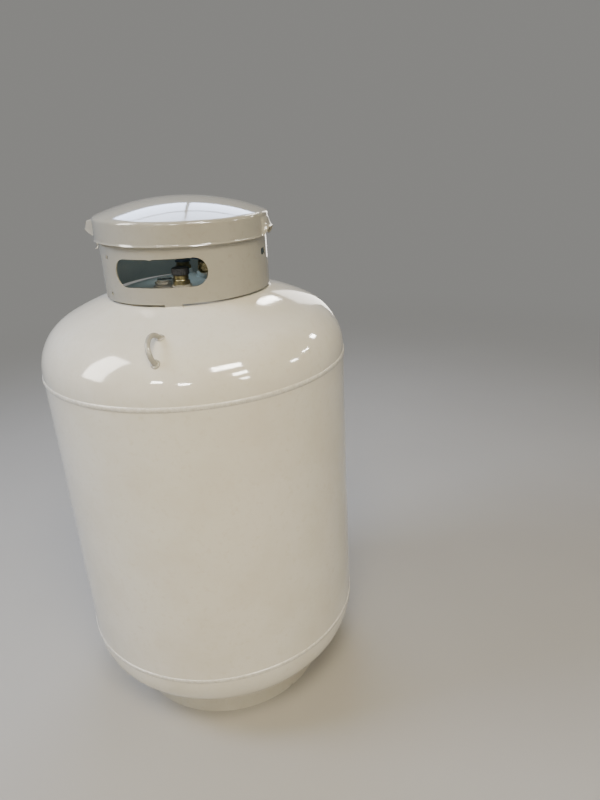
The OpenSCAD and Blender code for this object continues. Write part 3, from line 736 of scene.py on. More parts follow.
half_lid = arc((0, SKIRT_TOP - dome_drop), DOME_R, 90, dome_edge, 30)
half_lid += arc((shoulder_at, SKIRT_TOP), SHOULDER_R, dome_edge, 0, 9)[1:]
half_lid += [(LID_R, hood_z - (hood_z - SKIRT_Z) * i / SKIRT_ROWS) for i in range(SKIRT_ROWS + 1)]
lid = bmesh.new()
start = out_of_tank(HINGE_TURN - HOOD_SECTOR / 2)
ring = [lid.verts.new((start.x * r * MM, start.y * r * MM, z * MM)) for r, z in half_lid]
ring += [lid.edges.new(pair) for pair in zip(ring, ring[1:])]
for span, steps in 2 * ((HOOD_SECTOR, 84), (180 - HOOD_SECTOR, 100)):
    swept = bmesh.ops.spin(lid, geom=ring, axis=UP, cent=(0, 0, 0), steps=steps, angle=radians(span))
    ring = swept["geom_last"]
bmesh.ops.remove_doubles(lid, verts=lid.verts, dist=SAME_POINT)
for vert in lid.verts:
    share = (hood_z - vert.co.z / MM) / (hood_z - SKIRT_Z)
    if share > -1e-4:
        turn = degrees(atan2(vert.co.x, -vert.co.y))
        out, height = hood_point(min(1.0, max(0.0, share)), *hood_plan(turn))
        vert.co = tank_point(turn, LID_R + out, height)
bmesh.ops.rotate(lid, verts=lid.verts, cent=(0, 0, SKIRT_TOP * MM), matrix=Matrix.Rotation(LID_ASKEW, 3, "Y"))
# the darker grey enamel paints the shade that lies on the lid
piece("pressed_lid", lid, enamel_painted_shade, "lid", body="lid", wall_mm=LID_T, bevel_mm=0.5)

# %% [markdown]
# ## Turned and milled parts
# Every valve starts as a bar that is turned, and where a spanner has to grip it, six flats are milled. The
# mesh repeats that: a half section is spun on its own axis, and the points between two heights are drawn in
# to the flats. Where the blank is smaller than the hexagon's corners, a real nut's arcs appear by themselves.

# %% Turn, mill and place
THREAD_DEPTH = 0.6
HEX_STEPS = 72


def turned(section, steps=HEX_STEPS):
    """A solid of revolution on its own upright axis, from a section that starts and ends on the axis."""
    return spun(section, steps, closed=False)


def drawn_in(vert, keep):
    """Draws a point in towards the upright axis, to a share of its distance."""
    vert.co.x, vert.co.y = vert.co.x * keep, vert.co.y * keep


def milled(mesh, across, low, high):
    """Mills six flats between two heights."""
    for vert in mesh.verts:
        radius = hypot(vert.co.x, vert.co.y)
        if radius > 1e-6 and low - 0.01 <= vert.co.z / MM <= high + 0.01:
            flat = across / 2 * MM / cos((atan2(vert.co.y, vert.co.x)) % (pi / 3) - pi / 6)
            drawn_in(vert, min(1.0, flat / radius))
    return mesh


def chamfered(radius, low, high, cut):
    """Half section of a short bar from its lower to its upper rim, with both rims taken off in three cuts."""
    steps = [(radius - cut * (1 - i / 3), low + 0.6 * cut * i / 3) for i in range(4)]
    return steps + [(r, low + high - z) for r, z in steps[::-1]]


def hex_blank(across, low, high, cut):
    """Half section of the chamfered bar that a hexagon is milled from."""
    return chamfered(across / 2 / cos(pi / 6), low, high, cut)


def nut(bore_r, across, low, high, cut):
    """A hexagon nut between two heights, or without a bore a plain hexagon."""
    section = [(bore_r, low)] + hex_blank(across, low, high, cut) + [(bore_r, high)]
    return milled(spun(section, HEX_STEPS, closed=bore_r > 0), across, low, high)


def threaded(radius, low, high, pitch, depth=THREAD_DEPTH):
    """Half section of a thread, drawn as rings, from its lower to its upper end."""
    turns = int((high - low) / pitch)
    step = (high - low) / turns
    return [(radius - deep, low + (i + share) * step) for i in range(turns)
            for deep, share in ((depth, 0), (0, 0.35), (0, 0.6), (depth, 0.95))]


def placed(mesh, at, z_axis=UP, x_axis=Vector((1, 0, 0))):
    """Sets a mesh made at the origin on its place, with its own axis along a direction."""
    y_axis = z_axis.cross(x_axis).normalized()
    turn = Matrix((y_axis.cross(z_axis), y_axis, z_axis)).transposed().to_4x4()
    bmesh.ops.transform(mesh, matrix=Matrix.Translation(at) @ turn, verts=mesh.verts)
    return mesh


def joined(first, *others):
    """Adds other meshes to the first and returns it."""
    for other in others:
        data = bpy.data.meshes.new("joined")
        other.to_mesh(data)
        other.free()
        first.from_mesh(data)
        bpy.data.meshes.remove(data)
    return first


def middle(node):
    """Upright axis and lowest height of a node, as a point."""
    low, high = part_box(node)
    return Vector(((low.x + high.x) / 2, (low.y + high.y) / 2, low.z))


# %% [markdown]
# ## Lifting lugs
# Each lug is a rod of 11 mm bent to a half circle. It is welded to the sloping head by its two ends, and as
# in the photograph, it leans a little to one side. A ring of points is drawn up the first leg, spun over the
# bend and drawn down the second, as the rod was bent. Each end gets its own rough fillet.

# %% Lugs
ROD_R = 5.5
LUG_BEND = 33.0
LUG_REACH = SHELL_R - 52.0
LUG_SINK = 4.0
LUG_LEG = 3.5
LUG_TURN = 5.5
LUG_TILT = radians(20)
FILLET_OUT = 1.2
LUG_FILLET_HALF, LUG_FILLET_RISE, LUG_FILLET_R = 4.2, 3.4, 8


def lug(name, node, turn):
    lean = asin((LUG_REACH - KNUCKLE_AT) / KNUCKLE_R)
    level = out_of_tank(turn)
    off_head, down_head = level * sin(lean) + UP * cos(lean), level * cos(lean) - UP * sin(lean)
    centre = (level * LUG_REACH + UP * head_z(LUG_REACH) - off_head * LUG_SINK) * MM
    rod = bmesh.new()
    ring = bmesh.ops.create_circle(rod, cap_ends=True, segments=20, radius=ROD_R * MM)["verts"]
    bmesh.ops.translate(rod, verts=ring, vec=Vector((-LUG_BEND, 0, -LUG_LEG)) * MM)
    tip = rod.faces[:]
    for rise, steps, angle in ((LUG_LEG, 2, 0), (0, 36, pi), (-LUG_LEG, 2, 0)):
        tip = bmesh.ops.spin(rod, geom=tip, axis=(0, 1, 0), cent=(0, 0, 0), dvec=(0, 0, rise * MM / steps),
                             steps=steps, angle=angle)["geom_last"]
    bmesh.ops.remove_doubles(rod, verts=rod.verts, dist=SAME_POINT)
    placed(rod, centre, off_head * cos(LUG_TILT) - along_wall(turn) * sin(LUG_TILT), down_head)
    for side in (-1, 1):
        root = round_post(centre + down_head * side * LUG_BEND * MM, ROD_R + FILLET_OUT, off_head)
        bead(rod, root, 2 * pi * LUG_FILLET_R, LUG_FILLET_HALF, LUG_FILLET_RISE, closed=True)
    # the darker grey enamel paints the shade on the lug
    piece(name, rod, enamel_painted_shade, node)


lug("front_bent_rod_lug", "front_lifting_lug", LUG_TURN)
lug("rear_bent_rod_lug", "rear_lifting_lug", LUG_TURN + 180)

# %% [markdown]
# ## Hinge
# Two ears stand on the collar under the lid's hood, and a strap from the lid runs between them. A zinc
# plated bolt goes through all three, with a nut at one end and a cotter pin behind it. The ears and the strap
# are cut from sheet with their holes and then given thickness, so that the bores are real.

# %% Hinge parts
PIN_R = COLLAR_R + 14.0
PIN_Z = sum(heights("hinge_bolt")) / 2
BOLT_R = 4.0
BORE_R = BOLT_R + 0.1
SPANNER = 13.0
EAR_R = 8.0
EAR_T = 4.0
EAR_ROOT = 0.4
LEAF_W = 24.0
EAR_OUT = LEAF_W / 2 + 1 + EAR_T
WALL_BITE = 0.6

lid_at_pin = PIN_R * sin(LID_ASKEW) - HOOD_SLOPE * (PIN_R + EAR_T / 2 - LID_R) / HINGE_REACH
leaf_h = hood_z - LID_T + lid_at_pin - PIN_Z
hinge_out, hinge_along = out_of_tank(HINGE_TURN), along_wall(HINGE_TURN)
hinge_at = tank_point(HINGE_TURN, PIN_R, PIN_Z)


def knuckle(arc_turns, arm, thickness, side):
    """A plate with a round end about the bolt and an arm, its first face at a distance along the bolt."""
    round_end = [(EAR_R * cos(radians(t)), EAR_R * sin(radians(t))) for t in arc_turns]
    bore = [(BORE_R * cos(2 * pi * i / 28), BORE_R * sin(2 * pi * i / 28)) for i in range(28)]
    sheet = filled(round_end + arm, [bore])
    thicken(sheet, thickness)
    return placed(sheet, hinge_at + hinge_along * side * MM, -hinge_along, hinge_out)


wall_at = COLLAR_R - PIN_R
ear_arm = [(wall_at + EAR_ROOT, EAR_R), (wall_at + EAR_ROOT, -EAR_R)]
ears = [knuckle(range(-90, 91, 10), ear_arm, EAR_T, side) for side in (-EAR_OUT, EAR_OUT - EAR_T)]
back_plate = filled([(wall_at - WALL_BITE, -EAR_R), (wall_at + EAR_T, -EAR_R), (wall_at + EAR_T, EAR_R),
                     (wall_at - WALL_BITE, EAR_R)])
thicken(back_plate, 2 * EAR_OUT)
placed(back_plate, hinge_at - hinge_along * EAR_OUT * MM, -hinge_along, hinge_out)
piece("hinge_ears", joined(back_plate, *ears), fittings_enamel_and_foot_shade, "hinge_bracket", bevel_mm=0.6)

neck = degrees(asin(EAR_T / 2 / EAR_R))
strap_turns = [90 + neck + i * (360 - 2 * neck) / 36 for i in range(37)]
strap = knuckle(strap_turns, [(EAR_T / 2, leaf_h), (-EAR_T / 2, leaf_h)], LEAF_W, -LEAF_W / 2)
piece("hinge_strap", strap, fittings_enamel_and_foot_shade, "hinge_leaf", body="lid", bevel_mm=0.5)

HEAD_H, NUT_H, BOLT_TAIL = 5.5, 6.5, 8.0
NUT_CUT = 1.1
BOLT_PITCH = 1.25
face, thread, tail = -EAR_OUT - HEAD_H, EAR_OUT - 4, EAR_OUT + NUT_H + BOLT_TAIL
head_blank = hex_blank(SPANNER, face, -EAR_OUT, NUT_CUT)[:4] + [(SPANNER / 2 / cos(pi / 6), -EAR_OUT)]
bolt = turned([(0, face)] + head_blank + [(BOLT_R, -EAR_OUT), (BOLT_R, thread)]
              + threaded(BOLT_R, thread, tail - 1, BOLT_PITCH) + [(2.9, tail - 0.6), (2.4, tail), (0, tail)])
milled(bolt, SPANNER, face, -EAR_OUT)
piece("hinge_hex_bolt", placed(bolt, hinge_at, hinge_along, hinge_out), zinc, "hinge_bolt")
hinge_nut = nut(BOLT_R, SPANNER, EAR_OUT, EAR_OUT + NUT_H, NUT_CUT)
piece("hinge_hex_nut", placed(hinge_nut, hinge_at, hinge_along, hinge_out), zinc, "hinge_nut")

# %% [markdown]
# ## Cotter pin
# The pin that keeps the nut on is a wire folded to an eye and two legs, with its legs bent apart. A curve
# through a few points gives the wire, and its bevel the thickness.

# %% Cotter
COTTER_WIRE = 1.1
COTTER_AT = tail - 3.5
# the wire from one leg's end round the eye to the other's, as (out of the tank, up) from the bolt's axis
COTTER_POINTS = [(7, -14), (2.2, -9), (1.0, -5), (1.0, 5), (2.6, 8.5), (0, 11.5), (-2.6, 8.5), (-1.0, 5),
                 (-1.0, -5), (-1.6, -12), (-5, -17)]

cotter_curve = bpy.data.curves.new("cotter_wire", "CURVE")
cotter_curve.dimensions = "3D"
cotter_curve.bevel_depth = COTTER_WIRE * MM
cotter_curve.bevel_resolution = 3
wire = cotter_curve.splines.new("BEZIER")
wire.bezier_points.add(len(COTTER_POINTS) - 1)
for point, (level, up) in zip(wire.bezier_points, COTTER_POINTS):
    point.co = hinge_at + hinge_along * COTTER_AT * MM + hinge_out * level * MM + UP * (up * MM)
    point.handle_left_type = point.handle_right_type = "AUTO"
cotter_maker = bpy.data.objects.new("cotter_maker", cotter_curve)
cotter = bmesh.new()
cotter.from_mesh(cotter_maker.to_mesh())
cotter_maker.to_mesh_clear()
bpy.data.objects.remove(cotter_maker)
bmesh.ops.holes_fill(cotter, edges=[edge for edge in cotter.edges if edge.is_boundary])
piece("hinge_cotter_pin", cotter, zinc)

# %% [markdown]
# ## Couplings in the head
# Each valve screws into a short steel coupling that is welded into the crown, under the tank's enamel.

# %% Couplings
COUPLING_SINK = 8
COUPLING_CUT = 1.5
COUPLING_FILLET_HALF, COUPLING_FILLET_RISE = 4.6, 3.6

for fitting in ("service", "filler", "gauge", "relief"):
    node = fitting + "_coupling"
    at, top = middle(node), heights(node)[1]
    radius = (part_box(node)[1].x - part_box(node)[0].x) / 2 / MM
    at.z = 0
    foot = head_z(hypot(at.x, at.y) / MM) - COUPLING_SINK
    socket = placed(turned([(0, foot), (radius, foot), (radius, top - COUPLING_CUT),
                            (radius - COUPLING_CUT, top), (0, top)]), at)
    bead(socket, round_post(at, radius + FILLET_OUT), 2 * pi * radius, COUPLING_FILLET_HALF,
         COUPLING_FILLET_RISE, closed=True)
    piece(fitting + "_welded_coupling", socket, enamel_weld, node)

# %% [markdown]
# ## Service valve
# A forged brass body with a hexagon to screw it in, and a side outlet with a thread inside. The thread is
# drawn as rings, because one turn of 1.8 mm can't be told from the next here. The outlet's flanks are flat,
# as on the forging. Two other valves stand on the same hexagon, so one function makes it.

# %% Service valve
VALVE_HEX, HEX_H, HEX_CUT = 36.4, 9.0, 1.6
VALVE_AT = middle("valve_stem")
VALVE_Z = heights("service_coupling")[1]
BODY_R, BODY_H = 18.0, 26.0
BODY_ROUND = 4
OUTLET_TURN = 12.0
OUTLET_L = 42.0
OUTLET_R = 15.0
OUTLET_BORE_R = 11.0
OUTLET_DEPTH = 20.0
OUTLET_PITCH, OUTLET_THREAD = 1.8, 0.7
FORGING_FLAT = 0.6


def valve_body(neck):
    """A valve's body, from the half section of what stands on its hexagon, which ends on the axis."""
    body = turned([(0, 0)] + hex_blank(VALVE_HEX, 0, HEX_H, HEX_CUT) + neck)
    return milled(body, VALVE_HEX, 0, HEX_H)


valve_foot = Vector((VALVE_AT.x, VALVE_AT.y, VALVE_Z * MM))
round_r = BODY_R - BODY_ROUND
body = valve_body([(15.5, 9.4), (15, 10.5), (16.2, 12)] + arc((round_r, 16), BODY_ROUND, -50, 0, 4)
                  + [(BODY_R, 20)] + arc((round_r, BODY_H - BODY_ROUND), BODY_ROUND, 0, 80, 6)
                  + [(12, BODY_H), (0, BODY_H)])
bore_end = OUTLET_L - OUTLET_DEPTH
bore = threaded(OUTLET_BORE_R + OUTLET_THREAD, bore_end, OUTLET_L - 1, OUTLET_PITCH, OUTLET_THREAD)[::-1]
outlet = turned([(0, 6), (OUTLET_R - 2, 6), (OUTLET_R, 17), (OUTLET_R, OUTLET_L - 3),
                 (OUTLET_R - 1, OUTLET_L - 0.8), (OUTLET_R - 1.8, OUTLET_L), (OUTLET_BORE_R + 1.2, OUTLET_L)]
                + bore + [(OUTLET_BORE_R, bore_end), (3, bore_end), (2.6, bore_end - 4), (0, bore_end - 4)])
placed(outlet, UP * (BODY_H / 2 * MM), out_of_tank(OUTLET_TURN), UP)
for vert in outlet.verts:
    vert.co.z = min(max(vert.co.z, FORGING_FLAT * MM), (BODY_H - FORGING_FLAT) * MM)
piece("service_valve_body", placed(joined(body, outlet), valve_foot), brass, "service_valve")

# %% [markdown]
# ## Bonnet, stem and wheel nut
# The stem rises out of the body through a packing nut, which is the bonnet here, and carries the wheel under
# a nut of its own. All three are turned about the stem's axis.

# %% Bonnet, stem and wheel nut
BONNET_HEX, BONNET_CUT = 19.0, 0.9
STEM_R = 4.0
STEM_THREAD = 9
WHEEL_NUT_HEX, WHEEL_NUT_CUT = 13.0, 1.0

bonnet = nut(0, BONNET_HEX, *heights("valve_bonnet", VALVE_Z), BONNET_CUT)
piece("packing_nut", placed(bonnet, valve_foot), brass, "valve_bonnet")

stem_high = heights("valve_stem", VALVE_Z)[1]
stem = turned([(0, BODY_H), (STEM_R, BODY_H), (STEM_R, stem_high - STEM_THREAD)]
              + threaded(STEM_R, stem_high - STEM_THREAD, stem_high - 0.8, BOLT_PITCH)
              + [(3, stem_high), (0, stem_high)])
piece("threaded_stem", placed(stem, valve_foot), zinc, "valve_stem")

wheel_nut = nut(STEM_R, WHEEL_NUT_HEX, *heights("wheel_nut", VALVE_Z), WHEEL_NUT_CUT)
piece("wheel_hex_nut", placed(wheel_nut, valve_foot), zinc, "wheel_nut")

# %% [markdown]
# ## Handwheel
# A small aluminium casting: a thick rim with eight finger grips, a web pierced by five round windows, and a
# hub. The rim is spun and its grips are pressed in as a soft wave. The web is a disc cut with its windows and
# given thickness, and it runs into the rim and the hub.

# %% Handwheel
WHEEL_R = (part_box("handwheel")[1].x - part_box("handwheel")[0].x) / 2 / MM
WHEEL_LOW, WHEEL_TOP = heights("handwheel", VALVE_Z)
RIM_H, RIM_W = 13.0, 9.0
RIM_SQUARENESS = 0.62
GRIPS, GRIP_DEPTH = 8, 4.0
WEB_LOW, WEB_T = 6.0, 4.0
WEB_OVERLAP = 2
WINDOWS, WINDOW_R = 5, 4.5
HUB_R, HUB_CUT = 11.0, 1.2
hub_bore_r = STEM_R + 0.08


def squared(value):
    """A sine or cosine pushed out towards 1 or -1, which makes a circle of them into a rounded square."""
    return copysign(abs(value) ** RIM_SQUARENESS, value)


rim_r, rim_z = WHEEL_R - RIM_W / 2, WHEEL_LOW + RIM_H / 2
rim_turns = [2 * pi * i / 24 for i in range(24)]
rim_section = [(rim_r + RIM_W / 2 * squared(cos(t)), rim_z + RIM_H / 2 * squared(sin(t))) for t in rim_turns]
wheel = spun(rim_section, 160)
for vert in wheel.verts:
    radius, turn = hypot(vert.co.x, vert.co.y) / MM, atan2(vert.co.y, vert.co.x)
    outward = max(0.0, (radius - rim_r + RIM_W / 2) / RIM_W)
    drawn_in(vert, 1 - GRIP_DEPTH / WHEEL_R * outward * (0.5 + 0.5 * cos(GRIPS * turn)) ** 2)
hub_low, web_r = WHEEL_LOW + WEB_LOW, WHEEL_R - RIM_W
hub_wall = chamfered(HUB_R, hub_low, WHEEL_TOP, HUB_CUT)
hub = spun([(hub_bore_r, hub_low)] + hub_wall + [(hub_bore_r, WHEEL_TOP)], 60)
window_at = (HUB_R + web_r) / 2
web_holes = [slot_outline(window_at * cos(turn), window_at * sin(turn), 0, WINDOW_R, 12)
             for turn in (2 * pi * (i + 0.5) / WINDOWS for i in range(WINDOWS))]
web = filled(slot_outline(0, 0, 0, web_r + WEB_OVERLAP, 40),
             [slot_outline(0, 0, 0, HUB_R - WEB_OVERLAP, 20), *web_holes])
thicken(web, WEB_T)
placed(web, UP * ((hub_low + WEB_T) * MM))
piece("cast_handwheel", placed(joined(wheel, hub, web), valve_foot), wheel_enamel, "handwheel",
      body="handwheel", bevel_mm=0.5)

# %% [markdown]
# ## Filler valve
# The filler valve has a hexagon, a short neck and a wide thread under a moulded cap. The cap is gripped by
# hand, so its side carries ridges, which are a wave of the radius that fades out over the rounded top.

# %% Filler valve and cap
FILLER_AT = middle("filler_valve")
FILLER_THREAD_R, FILLER_PITCH, FILLER_THREAD = 18.0, 2.4, 1.0
CAP_R = 20.5
CAP_ROUND = 3.5
CAP_RIDGES, RIDGE_DEPTH = 30, 0.9
RIDGES_FROM = CAP_R - 2.5

filler_top = heights("filler_valve", FILLER_AT.z / MM)[1]
cap_low, cap_high = heights("filler_cap", FILLER_AT.z / MM)
filler = valve_body([(16, 9.5), (15.6, 11)]
                    + threaded(FILLER_THREAD_R, 12, filler_top - 0.5, FILLER_PITCH, FILLER_THREAD)
                    + [(16, filler_top), (0, filler_top)])
piece("filler_valve_body", placed(filler, FILLER_AT), brass, "filler_valve")

cap = turned([(0, cap_low), (CAP_R - 1.5, cap_low)] + arc((CAP_R - 1.2, cap_low + 1.2), 1.2, -60, 0, 3)
             + [(CAP_R, cap_low + (cap_high - cap_low - 4) * i / 4) for i in range(1, 5)]
             + arc((CAP_R - CAP_ROUND, cap_high - CAP_ROUND), CAP_ROUND, 10, 80, 5)
             + [(12, cap_high), (10.5, cap_high - 1), (0, cap_high - 1)], 240)
for vert in cap.verts:
    radius, turn = hypot(vert.co.x, vert.co.y) / MM, atan2(vert.co.y, vert.co.x)
    if radius > RIDGES_FROM:
        fade = min(1.0, (radius - RIDGES_FROM) / 2)
        drawn_in(vert, 1 - RIDGE_DEPTH / CAP_R * (0.5 + 0.5 * cos(CAP_RIDGES * turn)) * fade)
piece("filler_ridged_cap", placed(cap, FILLER_AT), cap_polymer, "filler_cap")

# %% [markdown]
# ## Level gauge
# A float inside the tank turns a magnet, and the pointer of a small dial follows it. The dial sits on a steel
# flange held by four screws, under a clear domed lens. The marks are a scale from empty to full, cut as thin
# raised bars.

# %% Level gauge
GAUGE_AT = middle("gauge_flange")
GAUGE_FLANGE_T = heights("gauge_flange", GAUGE_AT.z / MM)[1]
GAUGE_FLANGE_R, GAUGE_FLANGE_SIDE = 25.0, 43.0
DIAL_R, DIAL_RIM, DIAL_SINK = 18.0, 1.5, 1.2
SCREW_PITCH_R = 21.5
SCREW_SECTION = [(0, 0), (3.4, 0), (3.4, 1.6), (2.6, 2.6), (1.8, 2.7), (1.7, 1.4), (0, 1.4)]

flange = turned([(0, 0)] + chamfered(GAUGE_FLANGE_R, 0, GAUGE_FLANGE_T, 0.6) + [(0, GAUGE_FLANGE_T)], 96)
for vert in flange.verts:
    largest = max(abs(vert.co.x), abs(vert.co.y)) / MM
    if largest > GAUGE_FLANGE_SIDE / 2:
        vert.co.x, vert.co.y = (c * (GAUGE_FLANGE_SIDE / 2) / largest for c in vert.co.xy)
piece("gauge_plate", placed(flange, GAUGE_AT), zinc, "gauge_flange")

screws = bmesh.new()
for i in range(4):
    turn = radians(45 + 90 * i)
    corner = Vector((cos(turn), sin(turn), 0)) * SCREW_PITCH_R * MM + UP * (GAUGE_FLANGE_T * MM)
    joined(screws, placed(turned(SCREW_SECTION, 36), GAUGE_AT + corner))
piece("gauge_screws", screws, zinc)

dial_low, dial_high = heights("gauge_dial", GAUGE_AT.z / MM)
card_z = dial_high - DIAL_SINK
dial = turned([(0, dial_low), (DIAL_R, dial_low), (DIAL_R, dial_high), (DIAL_R - DIAL_RIM, dial_high),
               (DIAL_R - DIAL_RIM, card_z), (0, card_z)], 96)
piece("gauge_dial_card", placed(dial, GAUGE_AT), dial_card, "gauge_dial")

# %% [markdown]
# ## Marks and lens of the gauge
# Each mark is a small bar on the card, longer at every fifth, and the pointer is one more, longer bar. The
# lens has a rounded rim and a slight dome.

# %% Marks, pointer and lens
MARKS, MARK_SWEEP = 21, 250.0
MARK_END = 13.6
LONG_MARK, SHORT_MARK, MARK_WIDE, MARK_TALL = 2.8, 1.6, 0.5, 0.3
POINTER = (150, 15.0, 1.1, 11.5)  # its turn, length, width and outer end, as for each bar below

marks = bmesh.new()
bars = [(90 + MARK_SWEEP * (0.5 - i / (MARKS - 1)), SHORT_MARK if i % 5 else LONG_MARK, MARK_WIDE, MARK_END)
        for i in range(MARKS)]
for turn, long, wide, outer in bars + [POINTER]:
    bar = bmesh.new()
    bmesh.ops.create_cube(bar, size=1.0)
    for vert in bar.verts:
        vert.co = Vector((outer + (vert.co.x - 0.5) * long, vert.co.y * wide,
                          dial_high - 1.1 + vert.co.z * MARK_TALL)) * MM
    bmesh.ops.rotate(bar, verts=bar.verts, cent=(0, 0, 0), matrix=Matrix.Rotation(radians(turn), 3, "Z"))
    joined(marks, bar)
piece("gauge_marks", placed(marks, GAUGE_AT), cap_polymer, slot="dial_face")

lens_low, lens_high = heights("gauge_lens", GAUGE_AT.z / MM)
lens = turned([(0, lens_low), (DIAL_R, lens_low)] + arc((DIAL_R - 2, lens_high - 2.2), 2, 0, 70, 4)
              + [(10, lens_high - 0.08), (0, lens_high)], 96)
piece("gauge_clear_lens", placed(lens, GAUGE_AT), lens_polymer, "gauge_lens")

# %% [markdown]
# ## Relief valve
# It opens by itself when the pressure gets too high. A loose cap keeps rain out of its mouth.

# %% Relief valve and cap
RELIEF_AT = middle("relief_valve")
RELIEF_R, RELIEF_GROOVE_R = 17, 16.2
RAIN_CAP_R = 20
relief_top = heights("relief_valve", RELIEF_AT.z / MM)[1]
relief = valve_body([(15.5, 9.6), (15.5, 11), (RELIEF_R, 12), (RELIEF_R, relief_top - 3.4),
                     (RELIEF_GROOVE_R, relief_top - 2.6), (RELIEF_GROOVE_R, relief_top - 1),
                     (RELIEF_R, relief_top), (0, relief_top)])
piece("relief_valve_body", placed(relief, RELIEF_AT), brass, "relief_valve")

rain_low, rain_high = heights("relief_cap", RELIEF_AT.z / MM)
rain_cap = turned([(0, rain_low), (RAIN_CAP_R - 0.3, rain_low)]
                  + arc((RAIN_CAP_R - 1, rain_low + 1), 1, -60, 60, 4) + [(RAIN_CAP_R - 0.8, rain_low + 2.2)]
                  + arc((RAIN_CAP_R - 3, rain_high - 2), 2, 0, 80, 5)
                  + [(6, rain_high - 0.1), (0, rain_high)], 96)
piece("relief_rain_cap", placed(rain_cap, RELIEF_AT), cap_polymer, "relief_cap")

# %% [markdown]
# ## Floor and backdrop
# A plain pale floor fades into a backdrop of its own colour, so that no horizon shows. The floor's shader
# turns into an even glow between 1.6 and 5 m from the tank, and the world behind it has the same glow.

# %% Floor and backdrop
BACKDROP = "c6c5c1"
BACKDROP_STRENGTH = 0.44
FADE_FROM, FADE_TO = 1.6, 5.0
FLOOR_HALF = 30.0


def floor_material():
    made, tree, shader, place = blank_material("pale_floor")
    cloud = add(tree, "TexNoise", {"Vector": place, "Scale": 1000 / 600, "Detail": 3.0})
    colour = add(tree, "Mix", {0: cloud, 6: linear("bdbbb5"), 7: linear("b7b4ae")}, **COLOURS)
    feed(tree, shader, {"Base Color": colour, "Roughness": 0.8, "Specular IOR Level": 0.1})
    glow = add(tree, "Emission", {"Color": linear(BACKDROP), "Strength": BACKDROP_STRENGTH})
    distance = add(tree, "VectorMath", {0: place}, out="Value", operation="LENGTH")
    far = add(tree, "MapRange", {"Value": distance, "From Min": FADE_FROM, "From Max": FADE_TO})
    ease = add(tree, "MapRange", {"Value": far}, interpolation_type="SMOOTHSTEP")
    surface = add(tree, "MixShader", {0: ease, 1: shader.outputs["BSDF"], 2: glow})
    feed(tree, tree.nodes["Material Output"], {"Surface": surface})
    return made


floor_mesh = bmesh.new()
bmesh.ops.create_grid(floor_mesh, x_segments=1, y_segments=1, size=FLOOR_HALF)
floor_data = bpy.data.meshes.new("floor")
floor_mesh.to_mesh(floor_data)
floor_mesh.free()
floor_data.materials.append(floor_material())
in_scene("floor", floor_data)

world = bpy.data.worlds.new("soft_surroundings")
world.use_nodes = True
feed(world.node_tree, world.node_tree.nodes["Background"],
     {"Color": linear(BACKDROP), "Strength": BACKDROP_STRENGTH})
bpy.context.scene.world = world

# %% [markdown]
# ## Lamps
# The key lamp stands high in front and is warm, with a weak warm fill low in front and cool fills from the
# left, from above and inside the collar. These give the soft shading, and no reflection. Glossy paint shows
# the lamps themselves, so another set acts on reflections only: a tall lamp on the left for the highlight on
# the shoulder, small ones round the tank for its strips, dashes and spots, and four lit panels behind for the
# broad pale reflection on the lid.

# %% Lamps
WARM, COOL, PALE = "ffedc8", "cfdfff", "fbf6ec"
TANK_MIDDLE = (0, 0, 0.7)
SHOULDER = (0.1, -0.2, 1.05)


def lamp(name, at, towards, size_x, size_y, power, colour, reflected=False):
    """A rectangular lamp at one point, turned towards another, for soft light or only for reflections."""
    data = bpy.data.lights.new(name, "AREA")
    data.shape = "RECTANGLE"
    data.size, data.size_y, data.energy = size_x, size_y, power
    data.color = linear(colour)[:3]
    made = in_scene(name, data)
    aim = Vector(towards) - Vector(at)
    made.matrix_world = Matrix.Translation(at) @ aim.to_track_quat("-Z", "Y").to_matrix().to_4x4()
    made.visible_camera = False
    made.visible_diffuse, made.visible_glossy = not reflected, reflected


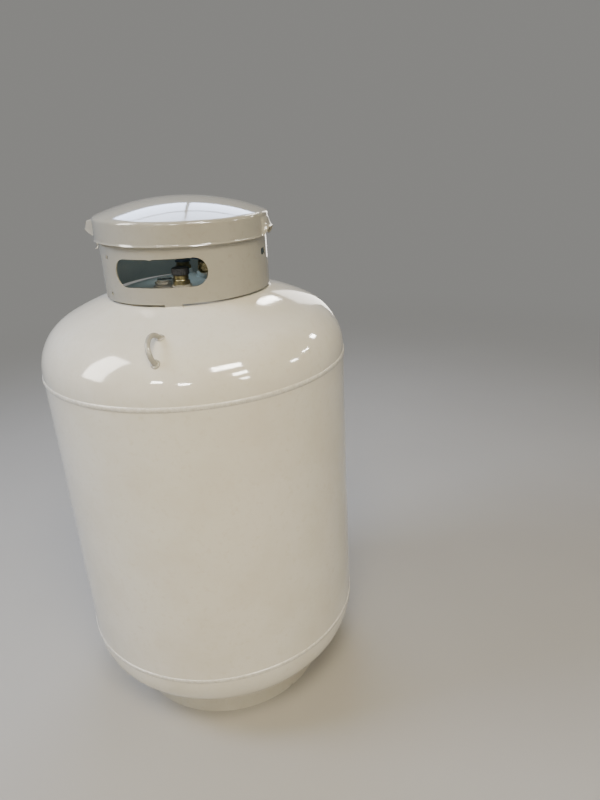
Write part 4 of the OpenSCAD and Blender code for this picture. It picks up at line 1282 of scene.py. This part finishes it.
lamp("key_lamp", (0.8, -2.1, 3.8), TANK_MIDDLE, 1.8, 1.2, 112, WARM)
lamp("low_front_fill", (0.9, -3.0, 0.9), (0, 0, 0.3), 1.6, 0.8, 20, WARM)
lamp("left_fill", (-2.4, -0.9, 3.2), (0, 0, 1.0), 1.2, 1.2, 85, "d6e3ff")
lamp("top_fill", (-0.4, 1.9, 3.6), (0, 0, 1.2), 1.6, 1.2, 45, "c6d8ff")
lamp("inside_collar_lamp", (-0.03, -0.02, 1.285), (0, 0.15, 1.17), 0.2, 0.2, 0.11, "b4d8f0")

# name: place, width, height and power of each lamp that is only seen in the paint
REFLECTED = {
    "left_highlight": ((-2.36, -1.51, 2.62), 1.0, 2.2, 220),
    "right_broad_strip": ((1.72, -2.0, 2.92), 1.1, 0.4, 165),
    "right_middle_strip": ((2.3, -2.08, 2.2), 0.6, 0.25, 56),
    "right_low_strip": ((2.5, -2.15, 1.65), 0.33, 0.12, 14),
    "front_left_dash": ((-0.54, -3.09, 2.15), 0.42, 0.2, 30),
    "front_right_dash": ((0.48, -3.21, 1.89), 0.42, 0.2, 30),
    "right_upper_spot": ((2.47, 1.6, 2.23), 0.25, 0.25, 22),
    "right_middle_spot": ((3.01, 0.79, 1.92), 0.45, 0.1, 16),
    "right_lower_spot": ((3.21, 0.01, 1.71), 0.3, 0.15, 16),
    "wedge_by_collar": ((0.33, 2.45, 2.7), 0.16, 0.6, 13),
    "edge_lamp": ((0.4, 3.0, 1.5), 0.5, 1.6, 12)}
for name, (at, size_x, size_y, power) in REFLECTED.items():
    lamp(name, at, SHOULDER, size_x, size_y, power, PALE, reflected=True)

PANEL_WIDE, PANEL_GAP, PANEL_POWER = 0.98, 0.05, 44
PANEL_ROWS = ((3.02, 0.78), (4.54, 2.1))
panels_at, panels_out = Vector((-0.73, 2.45, 0)), Vector((-0.55, 0.835, 0))
panels_along = Vector((panels_out.y, -panels_out.x, 0))
for column in (-0.5, 0.5):
    for middle_z, tall in PANEL_ROWS:
        at = panels_at + panels_along * column * (PANEL_WIDE + PANEL_GAP) + UP * middle_z
        lamp(f"back_panel_{column + 1.5:.0f}_{tall}", at, at - panels_out, PANEL_WIDE, tall,
             PANEL_POWER * PANEL_WIDE * tall, COOL, reflected=True)
bpy.context.scene.view_settings.view_transform = "AgX"
print("lamps:", len(bpy.data.lights))
